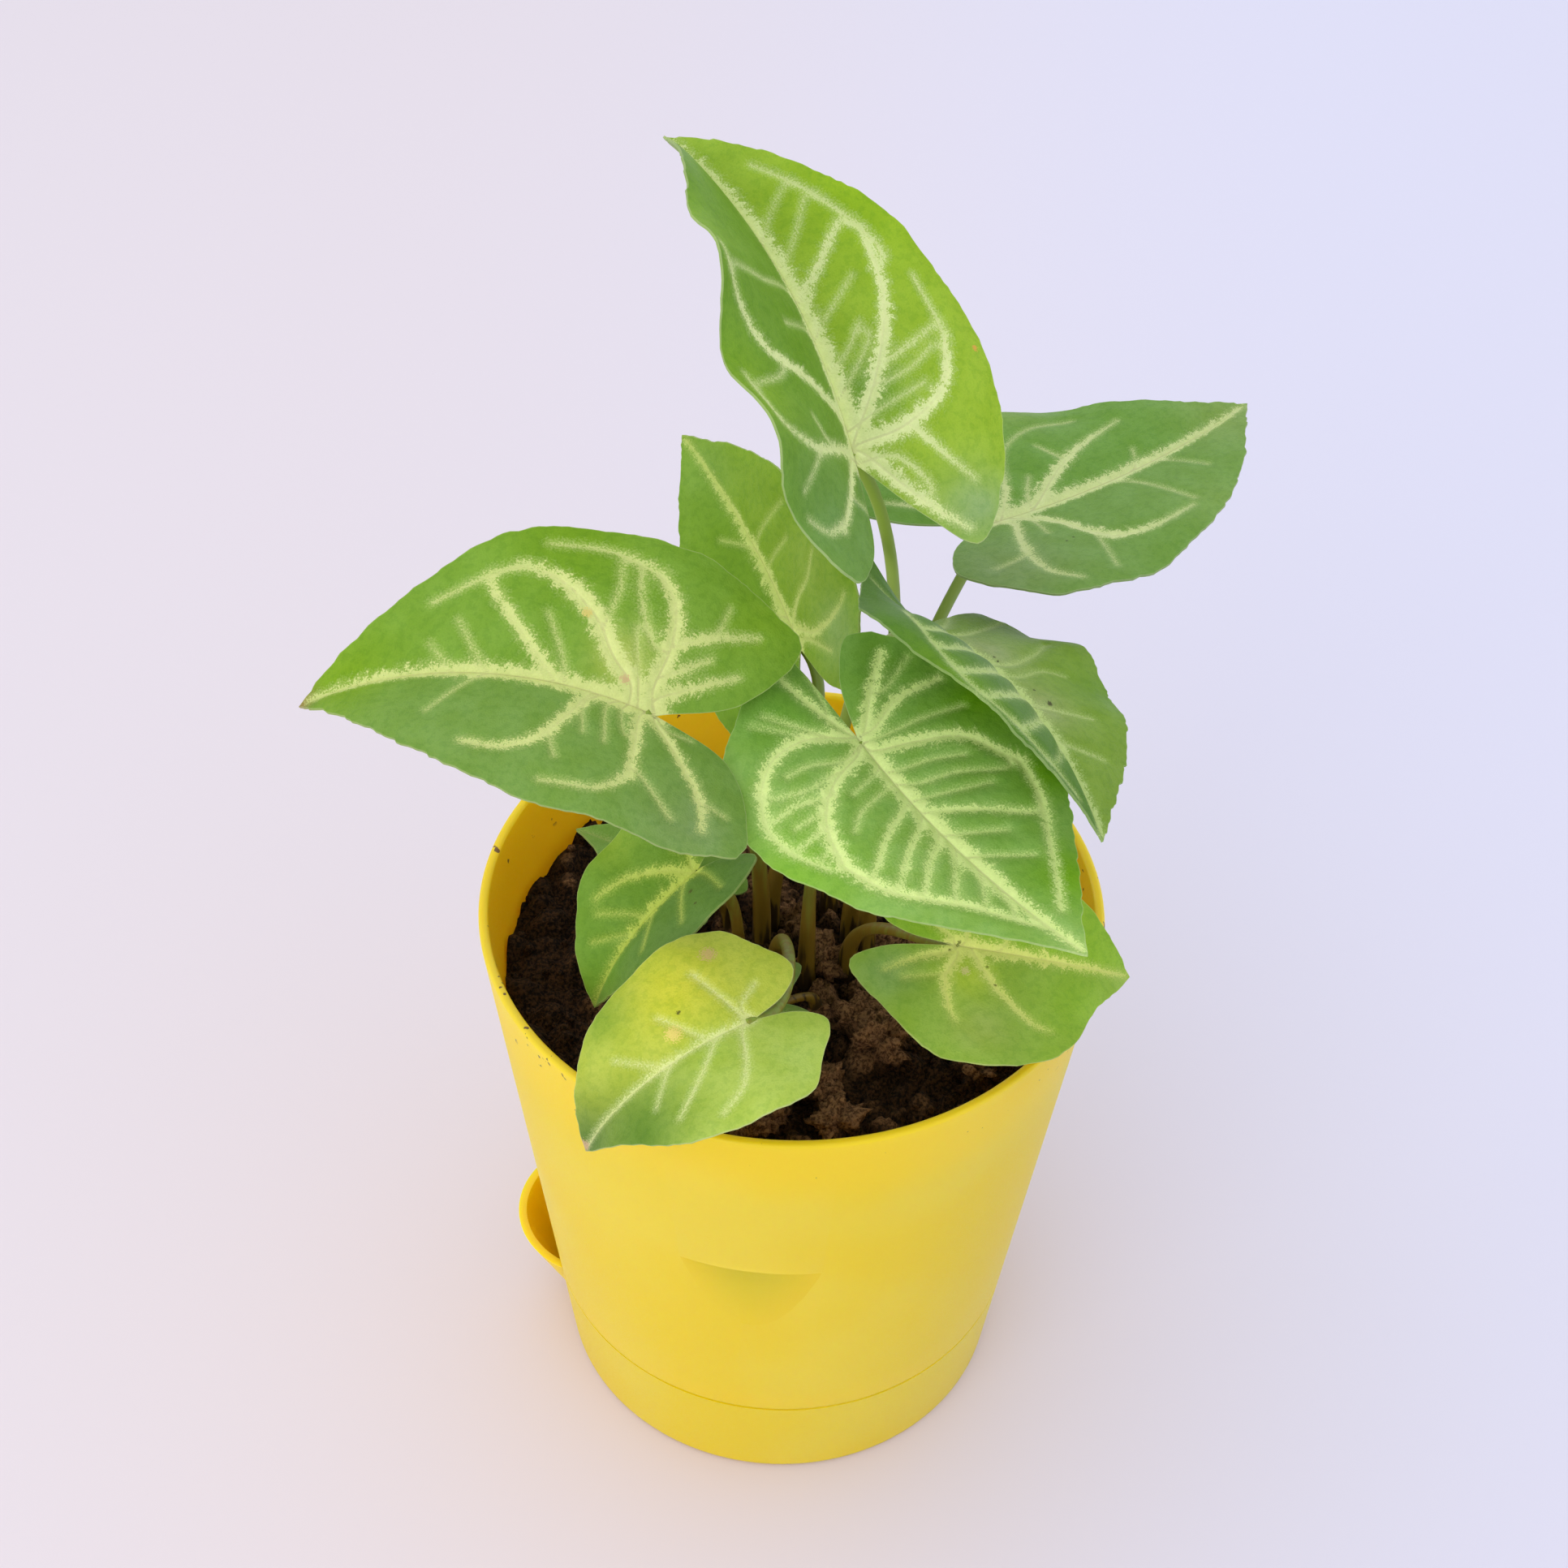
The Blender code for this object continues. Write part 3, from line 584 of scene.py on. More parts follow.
# Values of a plain leaf. Pairs are for its left and right half, shares are of its length.
#   pitch, roll  rise of the midrib and of the left half at the stem, degrees
#   curl, sweep  bend of the midrib down to the tip in degrees, and sideways as a share
#   fold         rise of each half from the midrib, degrees
#   cup, sag     how much each half and its back lobe bend down again
#   width        of each half, and full: how full it stays towards the tip
#   lobe, spread, inner  back lobe's length, its distance from the middle, its inner fullness
#   ripple, wave height of the edge waves, and where along a wave they start
#   hind         how full each half stays behind the stem
#   stem         angle to the midrib, share of the way it rises straight, share it runs out
#   bow          how far the stem swings out to the blade's right on its way, as a share
#   quilt        height of the cushions between the veins, mm
#   ragged       unevenness of the edge
#   gain         lightness of all the leaf's colours, painted light raised most for leaves in shade
#   green, pale  colour of each half, and of the bands along the veins, as seen on a screen
#   tints        soft patches: place (along, across), reach, and colour as seen on a screen;
#                some are painted sheen on back lobes and along a fold, and painted shade on a tip
#   midrib       half width of its pale band at the stem, half way and at the tip, mm
#   marks        spots: place (along, across), radius in mm, and colour as seen on a screen
#   bands        pale bands: half width at start and end in mm, then points (along, across)
PLAIN = dict(
    pitch=0, roll=0, curl=40, sweep=0.0, fold=(15, 15), cup=(0.4, 0.4), sag=(0.1, 0.1),
    width=(0.44, 0.44), full=(1.0, 1.0), lobe=(0.34, 0.34), spread=(0.24, 0.24),
    inner=(1.0, 1.0), ripple=(0.01, 0.01), wave=(0.0, 0.0), hind=(1.0, 1.0),
    stem=(65, 0.45, 0.3), bow=0.0, quilt=0.35, ragged=0.012, painted_light_gain=1.0,
    green=((118, 155, 62), (118, 155, 62)), pale=(190, 202, 130), tints_and_painted_light=(), marks=(),
    midrib=(0.9, 0.5, 0.2), bands=())

# joint is where stem and blade meet, heading is the tip's direction from +X, root is where
# the stem stands in the soil.
LEAVES = {
    "leaf_top": dict(
        joint=(7.5, 16, 212), heading=110, length=72.5, root=(14, 2),
        pitch=35, roll=16, curl=37, sweep=0.09, fold=(36, 38), cup=(0.5, 0.7), sag=(-0.1, -0.1),
        width=(0.44, 0.37), lobe=(0.34, 0.29), spread=(0.22, 0.22), inner=(0.5, 1.4),
        ripple=(0.05, 0.01), wave=(0.3, 0.0), bow=0.9, painted_light_gain=1.08,
        green=((110, 150, 48), (146, 177, 52)),
        pale=(200, 210, 150), midrib=(2.2, 1.6, 0.5),
        # The bluish patches on both back lobes are painted sheen.
        tints_and_painted_light=(
            (0.60, -0.30, 0.22, 138, 174, 22), (0.90, -0.06, 0.14, 148, 180, 55),
            (0.12, -0.07, 0.08, 115, 155, 60), (-0.20, 0.22, 0.18, 112, 150, 78),
            (-0.22, -0.24, 0.10, 138, 166, 108), (0.50, 0.38, 0.12, 124, 164, 36),
            (0.10, 0.40, 0.10, 122, 160, 40),
        ),
        marks=(
            (0.14, -0.35, 0.6, 200, 150, 70),
        ),
        bands=(
            (1.5, 0.5, (0.02, -0.01), (0.15, -0.10), (0.32, -0.19), (0.46, -0.21)),
            (0.5, 0.15, (0.40, -0.23), (0.60, -0.17), (0.77, -0.09)),
            (0.8, 0.3, (0.40, -0.03), (0.47, -0.11), (0.52, -0.18)),
            (0.2, 0.1, (0.50, -0.03), (0.56, -0.09), (0.62, -0.15)),
            (0.2, 0.1, (0.59, -0.02), (0.67, -0.12)),
            (0.25, 0.1, (0.31, -0.03), (0.39, -0.14)),
            (0.2, 0.1, (0.22, -0.05), (0.28, -0.11)),
            (0.2, 0.1, (0.15, -0.03), (0.25, -0.12)),
            (1.9, 0.4, (0.01, -0.01), (0.02, -0.12), (0.08, -0.24), (0.19, -0.29)),
            (0.2, 0.2, (0.19, -0.29), (0.34, -0.28)),
            (0.4, 0.2, (0.18, -0.16), (0.22, -0.29)),
            (0.2, 0.1, (0.13, -0.12), (0.14, -0.18), (0.17, -0.26)),
            (0.2, 0.1, (0.07, -0.07), (0.10, -0.20)),
            (0.9, 0.15, (0.01, -0.15), (-0.06, -0.20), (-0.14, -0.26)),
            (1.5, 0.3, (0.00, -0.01), (-0.11, -0.09), (-0.19, -0.15), (-0.25, -0.21)),
            (0.4, 0.2, (-0.04, -0.09), (-0.14, -0.15)),
            (1.3, 0.2, (0.08, 0.02), (0.14, 0.13), (0.20, 0.28), (0.30, 0.36), (0.40, 0.37)),
            (1.0, 0.15, (-0.01, 0.05), (-0.03, 0.26), (0.02, 0.40), (0.14, 0.40)),
            (0.4, 0.1, (0.00, 0.16), (0.05, 0.20)),
            (0.3, 0.1, (0.41, 0.03), (0.37, 0.20), (0.36, 0.34)),
            (0.3, 0.1, (0.30, 0.01), (0.28, 0.16)),
            (0.2, 0.1, (0.14, 0.27), (0.11, 0.38)),
            (1.0, 0.5, (-0.02, 0.02), (-0.12, 0.10), (-0.21, 0.18)),
            (0.5, 0.1, (-0.20, 0.18), (-0.22, 0.25), (-0.19, 0.32)),
            (0.4, 0.1, (-0.05, 0.24), (-0.13, 0.33)),
            (0.2, 0.1, (-0.12, 0.09), (-0.15, 0.01)),
        )),
    "leaf_back_right": dict(
        joint=(34, 40, 178), heading=33, length=68.5, root=(11, 6),
        pitch=-6, roll=-1, curl=0, sweep=0.18, fold=(8, 20), cup=(0.5, 0.4), sag=(0.0, 0.0),
        width=(0.45, 0.46), full=(1.0, 1.1), lobe=(0.34, 0.27),
        ripple=(0.02, 0.01), wave=(0.5, 0.2), stem=(60, 0.45, 0.3),
        green=((110, 154, 64), (114, 154, 70)), pale=(192, 204, 142), midrib=(1.9, 1.4, 0.5),
        # The bluish patch on the right back lobe is painted sheen.
        tints_and_painted_light=(
            (0.90, 0.00, 0.16, 128, 160, 80), (-0.15, -0.28, 0.18, 128, 156, 96),
            (0.35, 0.42, 0.12, 124, 160, 70), (0.55, -0.34, 0.12, 124, 160, 76),
        ),
        marks=(
            (0.06, -0.24, 0.32, 60, 70, 30),
            (0.09, -0.23, 0.32, 60, 70, 30),
        ),
        bands=(
            (1.6, 0.2, (0.16, 0.02), (0.30, 0.11), (0.45, 0.17), (0.59, 0.19)),
            (1.2, 0.4, (0.04, 0.02), (0.10, 0.09), (0.14, 0.16)),
            (0.2, 0.1, (0.14, 0.16), (0.22, 0.26), (0.34, 0.30), (0.49, 0.28)),
            (0.5, 0.1, (0.16, 0.07), (0.20, 0.12)),
            (0.2, 0.1, (0.51, 0.01), (0.55, 0.07)),
            (1.0, 0.9, (0.07, -0.02), (0.13, -0.12), (0.15, -0.20), (0.20, -0.27)),
            (0.9, 0.2, (0.20, -0.27), (0.33, -0.30), (0.47, -0.29)),
            (0.3, 0.2, (0.44, -0.06), (0.50, -0.26)),
            (0.25, 0.1, (0.60, -0.03), (0.66, -0.15)),
            (0.9, 0.25, (0.03, -0.04), (-0.04, -0.19), (-0.06, -0.33), (-0.01, -0.41)),
            (0.3, 0.1, (0.08, -0.06), (0.06, -0.16)),
            (0.5, 0.1, (-0.06, -0.23), (-0.17, -0.25)),
            (0.3, 0.1, (0.16, -0.25), (0.11, -0.40)),
            (1.0, 0.3, (-0.02, 0.03), (-0.14, 0.12), (-0.24, 0.20)),
            (0.7, 0.2, (0.02, 0.06), (-0.04, 0.22), (0.00, 0.36), (0.10, 0.38)),
            (0.2, 0.1, (-0.09, 0.08), (-0.12, 0.24)),
            (0.3, 0.1, (0.34, 0.13), (0.30, 0.22)),
        )),
    "leaf_left": dict(
        joint=(-25.5, -15, 180.5), heading=171, length=62, root=(-5.5, 3),
        pitch=21, roll=-1, curl=56, sweep=0.06, fold=(7, 32), cup=(0.4, 0.1),
        width=(0.42, 0.44), full=(1.0, 0.9), lobe=(0.36, 0.33), spread=(0.34, 0.32),
        inner=(0.5, 0.9), wave=(0.1, 0.2), stem=(40, 0.65, 0.25),
        green=((122, 158, 74), (123, 162, 58)), pale=(198, 207, 132), midrib=(1.7, 1.2, 0.4),
        # The bluish patch on the left back lobe is painted sheen.
        tints_and_painted_light=(
            (0.30, -0.40, 0.18, 118, 158, 30), (0.85, 0.00, 0.18, 124, 162, 30),
            (1.00, 0.00, 0.05, 150, 118, 70), (-0.20, -0.35, 0.12, 126, 164, 44),
            (-0.20, 0.33, 0.12, 128, 156, 96), (0.10, -0.10, 0.08, 176, 192, 96),
        ),
        marks=(
            (0.08, -0.06, 1.0, 206, 176, 130),
            (0.22, -0.20, 1.0, 214, 196, 110),
        ),
        bands=(
            (1.9, 1.2, (0.06, -0.05), (0.13, -0.11), (0.19, -0.19), (0.26, -0.25)),
            (1.2, 0.4, (0.26, -0.25), (0.32, -0.28), (0.39, -0.29)),
            (0.4, 0.2, (0.39, -0.29), (0.48, -0.25), (0.60, -0.19)),
            (1.0, 0.4, (0.29, -0.04), (0.34, -0.09), (0.41, -0.17), (0.46, -0.24)),
            (0.3, 0.1, (0.24, -0.05), (0.31, -0.18)),
            (0.5, 0.1, (0.46, -0.03), (0.53, -0.14)),
            (0.4, 0.1, (0.56, -0.03), (0.60, -0.08)),
            (1.9, 0.5, (0.00, -0.05), (0.00, -0.18), (0.03, -0.29), (0.08, -0.35)),
            (0.5, 0.15, (0.08, -0.35), (0.20, -0.38), (0.34, -0.36)),
            (0.4, 0.2, (0.04, -0.17), (0.10, -0.26), (0.13, -0.36)),
            (0.3, 0.1, (0.17, -0.18), (0.16, -0.28), (0.17, -0.36)),
            (0.2, 0.1, (0.05, -0.08), (0.09, -0.20)),
            (0.8, 0.3, (0.00, -0.18), (-0.10, -0.25), (-0.21, -0.30)),
            (0.3, 0.1, (-0.10, -0.26), (-0.11, -0.34)),
            (1.7, 0.3, (-0.01, -0.03), (-0.09, -0.10), (-0.20, -0.18)),
            (1.2, 0.3, (-0.02, -0.11), (-0.11, -0.19)),
            (1.2, 0.4, (0.15, 0.01), (0.19, 0.11), (0.25, 0.22), (0.34, 0.27), (0.44, 0.27)),
            (0.2, 0.1, (0.22, 0.20), (0.19, 0.27)),
            (1.2, 0.6, (0.01, 0.03), (0.00, 0.14), (-0.01, 0.25)),
            (0.6, 0.2, (-0.01, 0.25), (0.06, 0.33), (0.21, 0.35)),
            (1.2, 0.4, (-0.03, 0.02), (-0.12, 0.12), (-0.21, 0.23), (-0.24, 0.32)),
            (0.2, 0.1, (-0.20, 0.23), (-0.29, 0.25)),
            (0.25, 0.15, (-0.03, 0.23), (-0.15, 0.32)),
            (0.25, 0.1, (0.16, 0.05), (0.14, 0.16)),
            (0.25, 0.1, (0.10, 0.03), (0.08, 0.17)),
            (0.2, 0.1, (0.06, 0.03), (0.03, 0.12)),
            (0.2, 0.1, (-0.07, 0.04), (-0.14, 0.04)),
            (0.25, 0.1, (0.46, 0.02), (0.56, 0.16)),
        )),
    "leaf_centre": dict(
        joint=(11, -13, 172.5), heading=-55, length=55, root=(3, -6),
        pitch=-11, roll=-5, curl=-11, sweep=0.11, fold=(16, 5), cup=(0.2, 0.6), sag=(-0.4, -0.4),
        width=(0.50, 0.47), lobe=(0.34, 0.41), spread=(0.16, 0.10), inner=(1.0, 0.9),
        wave=(0.1, 0.3), quilt=0.45, painted_light_gain=1.3, green=((120, 158, 76), (124, 160, 78)),
        pale=(182, 198, 126), midrib=(1.5, 1.8, 0.5),
        tints_and_painted_light=(
            (0.40, 0.42, 0.14, 96, 142, 18), (0.75, 0.18, 0.12, 106, 150, 30),
            (0.05, 0.40, 0.16, 92, 136, 14), (0.30, -0.45, 0.18, 118, 162, 52),
            (0.98, 0.00, 0.10, 140, 172, 96), (-0.20, -0.20, 0.16, 98, 142, 48),
            (-0.20, 0.20, 0.14, 96, 136, 50),
        ),
        bands=(
            (1.3, 0.8, (0.03, 0.01), (0.08, 0.14), (0.15, 0.28), (0.31, 0.37)),
            (0.7, 0.4, (0.31, 0.37), (0.46, 0.32), (0.64, 0.21), (0.83, 0.07)),
            (0.3, 0.2, (0.14, 0.05), (0.16, 0.14), (0.20, 0.24)),
            (0.35, 0.2, (0.21, 0.06), (0.24, 0.18), (0.31, 0.33)),
            (0.3, 0.15, (0.27, 0.06), (0.33, 0.24)),
            (0.7, 0.4, (0.34, 0.07), (0.41, 0.17), (0.50, 0.28)),
            (0.3, 0.2, (0.44, 0.06), (0.50, 0.16)),
            (0.3, 0.2, (0.54, 0.05), (0.62, 0.16)),
            (1.3, 0.6, (-0.03, 0.02), (-0.14, 0.12), (-0.24, 0.22)),
            (1.3, 0.5, (-0.03, 0.06), (-0.08, 0.18), (-0.08, 0.34)),
            (0.3, 0.15, (0.01, 0.09), (0.02, 0.20), (0.05, 0.34)),
            (0.3, 0.1, (-0.13, 0.16), (-0.19, 0.29)),
            (1.2, 0.9, (0.03, -0.04), (0.09, -0.17), (0.20, -0.27), (0.36, -0.32)),
            (0.9, 0.4, (0.36, -0.32), (0.50, -0.27), (0.66, -0.14), (0.84, -0.01)),
            (1.2, 0.8, (-0.04, -0.03), (-0.09, -0.17), (-0.07, -0.29), (0.00, -0.37)),
            (0.7, 0.3, (0.00, -0.37), (0.10, -0.41), (0.22, -0.40), (0.34, -0.36)),
            (0.6, 0.4, (0.27, -0.04), (0.34, -0.16), (0.43, -0.28)),
            (0.6, 0.4, (0.34, -0.03), (0.42, -0.14), (0.50, -0.25)),
            (0.6, 0.4, (0.41, -0.02), (0.48, -0.11), (0.56, -0.20)),
            (0.5, 0.4, (0.49, -0.02), (0.57, -0.09), (0.64, -0.15)),
            (0.4, 0.3, (0.58, -0.01), (0.70, -0.10)),
            (0.4, 0.3, (0.67, -0.01), (0.77, -0.05)),
            (0.3, 0.2, (0.19, -0.07), (0.22, -0.16), (0.27, -0.22)),
            (0.3, 0.2, (0.12, -0.05), (0.15, -0.14)),
            (0.3, 0.2, (0.03, -0.09), (0.00, -0.20), (0.00, -0.28)),
            (0.35, 0.2, (0.06, -0.14), (0.07, -0.25), (0.04, -0.35)),
            (0.5, 0.3, (0.12, -0.19), (0.10, -0.30), (0.10, -0.39)),
            (0.4, 0.2, (0.16, -0.24), (0.16, -0.35)),
            (0.4, 0.2, (0.21, -0.27), (0.22, -0.38)),
            (0.3, 0.2, (0.28, -0.30), (0.30, -0.37)),
            (1.1, 0.5, (-0.04, -0.01), (-0.15, -0.06), (-0.30, -0.12)),
            (0.5, 0.2, (-0.08, -0.10), (-0.22, -0.23)),
            (0.3, 0.1, (-0.10, -0.16), (-0.21, -0.28)),
            (0.3, 0.1, (-0.15, -0.04), (-0.28, -0.03)),
        )),
    "leaf_back_left": dict(
        joint=(-0.5, 29, 158), heading=110, length=53, root=(-4, 9),
        pitch=14, roll=-43, curl=-4, sweep=0.12, fold=(4, 31), cup=(0.5, 0.3), sag=(0.0, 0.0),
        width=(0.42, 0.43), full=(1.0, 1.1), lobe=(0.33, 0.38), spread=(0.25, 0.26), painted_light_gain=1.2,
        ripple=(0.01, 0.02), wave=(0.2, 0.0), green=((108, 146, 34), (122, 157, 36)),
        pale=(176, 190, 106), midrib=(1.4, 0.9, 0.4),
        # The pale bluish patch on the right back lobe is painted sheen.
        tints_and_painted_light=(
            (0.80, 0.00, 0.16, 120, 156, 60), (0.15, -0.25, 0.16, 132, 162, 52),
            (0.30, 0.30, 0.16, 96, 134, 22), (-0.15, -0.25, 0.12, 136, 166, 88),
        ),
        bands=(
            (0.7, 0.1, (0.06, -0.01), (0.10, -0.11), (0.11, -0.21), (0.16, -0.30)),
            (0.2, 0.1, (0.43, -0.05), (0.42, -0.26)),
            (0.15, 0.1, (0.31, -0.03), (0.31, -0.19)),
            (1.2, 0.2, (0.03, -0.02), (-0.06, -0.13), (-0.08, -0.28), (-0.06, -0.35)),
            (0.7, 0.2, (-0.03, -0.05), (-0.18, -0.18)),
            (0.6, 0.2, (0.12, 0.02), (0.22, 0.16), (0.36, 0.24)),
            (0.8, 0.2, (0.00, 0.03), (-0.02, 0.20), (0.08, 0.34)),
            (0.7, 0.2, (-0.03, 0.03), (-0.22, 0.18)),
            (0.3, 0.1, (0.44, 0.02), (0.53, 0.10)),
        )),
    "leaf_right": dict(
        joint=(22, 4, 183.5), heading=-49, length=56, root=(7, 13),
        pitch=18, roll=-31, curl=45, fold=(6, 24), cup=(0.0, 0.7), sag=(0.0, -2.0),
        width=(0.44, 0.47), full=(1.1, 1.2), lobe=(0.16, 0.27), spread=(0.32, 0.14), hind=(0.9, 0.6),
        ripple=(0.02, 0.01), wave=(0.7, 0.7), stem=(12, 0.45, 0.30), quilt=0.45, ragged=0.018,
        green=((124, 156, 58), (88, 130, 40)), pale=(172, 192, 120), midrib=(1.1, 0.9, 0.6),
        # The two grey patches along the midrib's fold are painted sheen.
        tints_and_painted_light=(
            (0.50, -0.42, 0.16, 104, 146, 20), (0.20, 0.04, 0.12, 152, 168, 112),
            (0.50, 0.04, 0.10, 148, 164, 104), (0.45, 0.38, 0.16, 108, 148, 36),
        ),
        marks=(
            (0.24, 0.05, 0.3, 50, 50, 25),
            (0.26, 0.05, 0.3, 50, 50, 25),
            (0.43, 0.06, 0.35, 50, 50, 25),
            (0.49, 0.08, 0.6, 50, 45, 25),
        ),
        bands=(
            (0.5, 0.4, (0.02, -0.06), (0.10, -0.24), (0.26, -0.32), (0.42, -0.34)),
            (0.4, 0.3, (0.42, -0.34), (0.56, -0.33), (0.72, -0.22), (0.88, -0.08)),
            (0.7, 0.5, (0.14, -0.03), (0.24, -0.30)),
            (0.7, 0.5, (0.25, -0.03), (0.34, -0.32)),
            (0.8, 0.5, (0.36, -0.03), (0.46, -0.33)),
            (0.8, 0.5, (0.47, -0.03), (0.57, -0.31)),
            (0.7, 0.4, (0.58, -0.03), (0.68, -0.24)),
            (0.4, 0.2, (0.70, -0.03), (0.78, -0.15)),
            (0.8, 0.2, (-0.02, -0.03), (-0.16, -0.16)),
            (0.7, 0.2, (0.05, 0.06), (-0.02, 0.24), (-0.10, 0.40)),
            (0.5, 0.1, (0.28, 0.06), (0.24, 0.20), (0.16, 0.33)),
            (0.3, 0.1, (0.35, 0.06), (0.32, 0.18), (0.34, 0.26)),
            (0.4, 0.2, (0.50, 0.04), (0.56, 0.20)),
            (0.4, 0.2, (0.66, 0.03), (0.72, 0.14)),
            (0.7, 0.2, (-0.02, 0.05), (-0.16, 0.22)),
        )),
    "leaf_low_right": dict(
        joint=(29.5, -26, 137.5), heading=-3, length=36.5, root=(10.5, -3),
        pitch=-7, roll=37, curl=49, sweep=0.02, fold=(4, 21), cup=(0.3, 0.0),
        width=(0.50, 0.59), full=(1.0, 0.7), lobe=(0.39, 0.52), spread=(0.10, 0.17),
        inner=(0.8, 0.9), ripple=(0.01, 0.02), wave=(0.2, 0.8), quilt=0.25,
        green=((122, 156, 44), (126, 154, 58)), pale=(174, 180, 96), midrib=(1.3, 0.8, 0.2),
        painted_light_gain=1.5,
        # The bluish patch on the right back lobe is painted sheen.
        tints_and_painted_light=(
            (0.05, -0.14, 0.12, 158, 176, 64), (0.10, -0.42, 0.12, 142, 160, 80),
            (0.60, -0.20, 0.20, 124, 158, 46), (-0.35, -0.20, 0.14, 122, 150, 84),
        ),
        marks=(
            (-0.01, 0.02, 0.35, 90, 95, 35),
            (-0.05, -0.03, 0.35, 90, 95, 35),
            (0.13, -0.09, 0.3, 90, 95, 35),
            (0.17, -0.18, 0.3, 90, 95, 35),
            (0.03, -0.13, 0.9, 176, 170, 110),
        ),
        bands=(
            (1.3, 0.2, (-0.01, -0.04), (-0.06, -0.18), (-0.03, -0.32), (0.01, -0.39)),
            (1.0, 0.15, (0.08, -0.05), (0.18, -0.20), (0.34, -0.34), (0.43, -0.37)),
            (1.2, 0.2, (-0.04, -0.03), (-0.17, -0.08), (-0.35, -0.18)),
            (0.5, 0.3, (0.20, 0.02), (0.23, 0.09)),
            (0.15, 0.1, (-0.08, -0.16), (-0.26, -0.21)),
            (0.6, 0.2, (0.02, 0.03), (0.04, 0.20), (0.16, 0.34)),
            (0.6, 0.2, (-0.04, 0.03), (-0.26, 0.14)),
        )),
    "leaf_front_left": dict(
        joint=(-7, -47, 139.5), heading=-152, length=40.5, root=(-3, -8),
        pitch=-4, roll=-2, curl=77, sweep=-0.11, fold=(12, 20), cup=(0.3, 0.4),
        width=(0.48, 0.49), full=(0.8, 1.1), lobe=(0.30, 0.29), spread=(0.16, 0.16),
        inner=(0.8, 0.9), ripple=(0.005, 0.01), wave=(0.1, 0.9), stem=(25, 0.6, 0.3), quilt=0.2,
        painted_light_gain=1.2,
        green=((166, 186, 84), (180, 190, 76)), pale=(204, 210, 148), midrib=(0.35, 0.3, 0.15),
        # The two dark patches towards the bent-down tip are painted shade.
        tints_and_painted_light=(
            (0.20, -0.28, 0.20, 198, 198, 62), (0.62, 0.22, 0.26, 96, 130, 44),
            (0.92, 0.00, 0.24, 88, 118, 46), (0.50, -0.36, 0.14, 140, 164, 60),
            (0.18, 0.06, 0.10, 156, 180, 72), (-0.10, 0.30, 0.12, 166, 188, 92),
        ),
        marks=(
            (0.01, -0.36, 1.6, 196, 168, 112),
            (0.28, -0.10, 1.6, 216, 196, 110),
            (0.22, -0.17, 0.45, 70, 70, 25),
            (0.97, -0.02, 1.6, 180, 150, 120),
        ),
        bands=(
            (0.25, 0.1, (0.03, 0.03), (0.09, 0.20), (0.16, 0.32), (0.27, 0.38)),
            (0.25, 0.1, (0.14, 0.01), (0.25, 0.13), (0.43, 0.28)),
            (0.2, 0.1, (0.01, -0.05), (0.06, -0.19), (0.10, -0.30)),
            (0.15, 0.05, (0.18, -0.02), (0.30, -0.20)),
            (0.2, 0.1, (-0.01, -0.07), (-0.11, -0.15)),
            (0.15, 0.05, (0.36, 0.01), (0.50, 0.16)),
            (0.15, 0.05, (0.40, -0.01), (0.54, -0.16)),
        )),
    "leaf_low_left": dict(
        joint=(-17.5, -13, 140), heading=-149, length=33.5, root=(-9.5, -6),
        pitch=-29, roll=3, curl=48, sweep=-0.05, fold=(21, 37), cup=(0.2, 0.3), sag=(0.2, 0.2),
        width=(0.43, 0.43), lobe=(0.32, 0.36), spread=(0.26, 0.25), inner=(1.1, 1.0),
        ripple=(0.01, 0.02), wave=(0.2, 0.3), quilt=0.25, green=((94, 126, 56), (102, 138, 44)),
        pale=(168, 180, 84), midrib=(0.9, 0.6, 0.2), painted_light_gain=1.4,
        tints_and_painted_light=(
            (0.20, -0.40, 0.12, 124, 152, 50), (-0.10, -0.24, 0.12, 118, 148, 62),
            (0.70, -0.05, 0.16, 104, 142, 50),
        ),
        marks=(
            (0.06, 0.15, 0.55, 70, 70, 30),
            (0.07, 0.27, 0.35, 70, 70, 30),
        ),
        bands=(
            (1.0, 0.2, (0.02, -0.02), (0.11, -0.11), (0.26, -0.21), (0.43, -0.26)),
            (0.7, 0.3, (-0.01, -0.02), (-0.04, -0.09), (-0.01, -0.16)),
            (0.3, 0.1, (-0.01, 0.01), (-0.05, 0.09), (-0.08, 0.30)),
            (0.4, 0.1, (0.06, 0.01), (0.12, 0.12), (0.18, 0.29)),
            (0.15, 0.1, (0.35, -0.03), (0.49, -0.21)),
            (0.15, 0.1, (0.48, -0.02), (0.63, -0.15)),
            (0.3, 0.1, (0.30, 0.02), (0.44, 0.20)),
        )),
    "leaf_small_left": dict(
        joint=(-19.5, 3, 120), heading=143, length=27, root=(-12, 7.5),
        pitch=5, roll=6, curl=20, fold=(19, 15), width=(0.41, 0.43), full=(0.8, 1.0),
        wave=(0.6, 0.0), quilt=0.2, midrib=(0.6, 0.4, 0.1), pale=(160, 178, 96),
        bands=(
            (0.5, 0.1, (0.06, 0.02), (0.20, 0.18), (0.36, 0.26)),
            (0.5, 0.1, (0.06, -0.02), (0.20, -0.18), (0.36, -0.27)),
            (0.5, 0.1, (-0.02, 0.03), (-0.20, 0.18)),
            (0.5, 0.1, (-0.02, -0.03), (-0.20, -0.18)),
        )),
    "leaf_small_front": dict(
        joint=(-7.5, -25, 118.5), heading=-158, length=22, root=(5, -14),
        pitch=-3, roll=-2, curl=36, sweep=0.19, fold=(2, 18), cup=(0.5, 0.3),
        width=(0.47, 0.46), lobe=(0.48, 0.55), inner=(1.0, 0.5), wave=(0.9, 0.0), quilt=0.2,
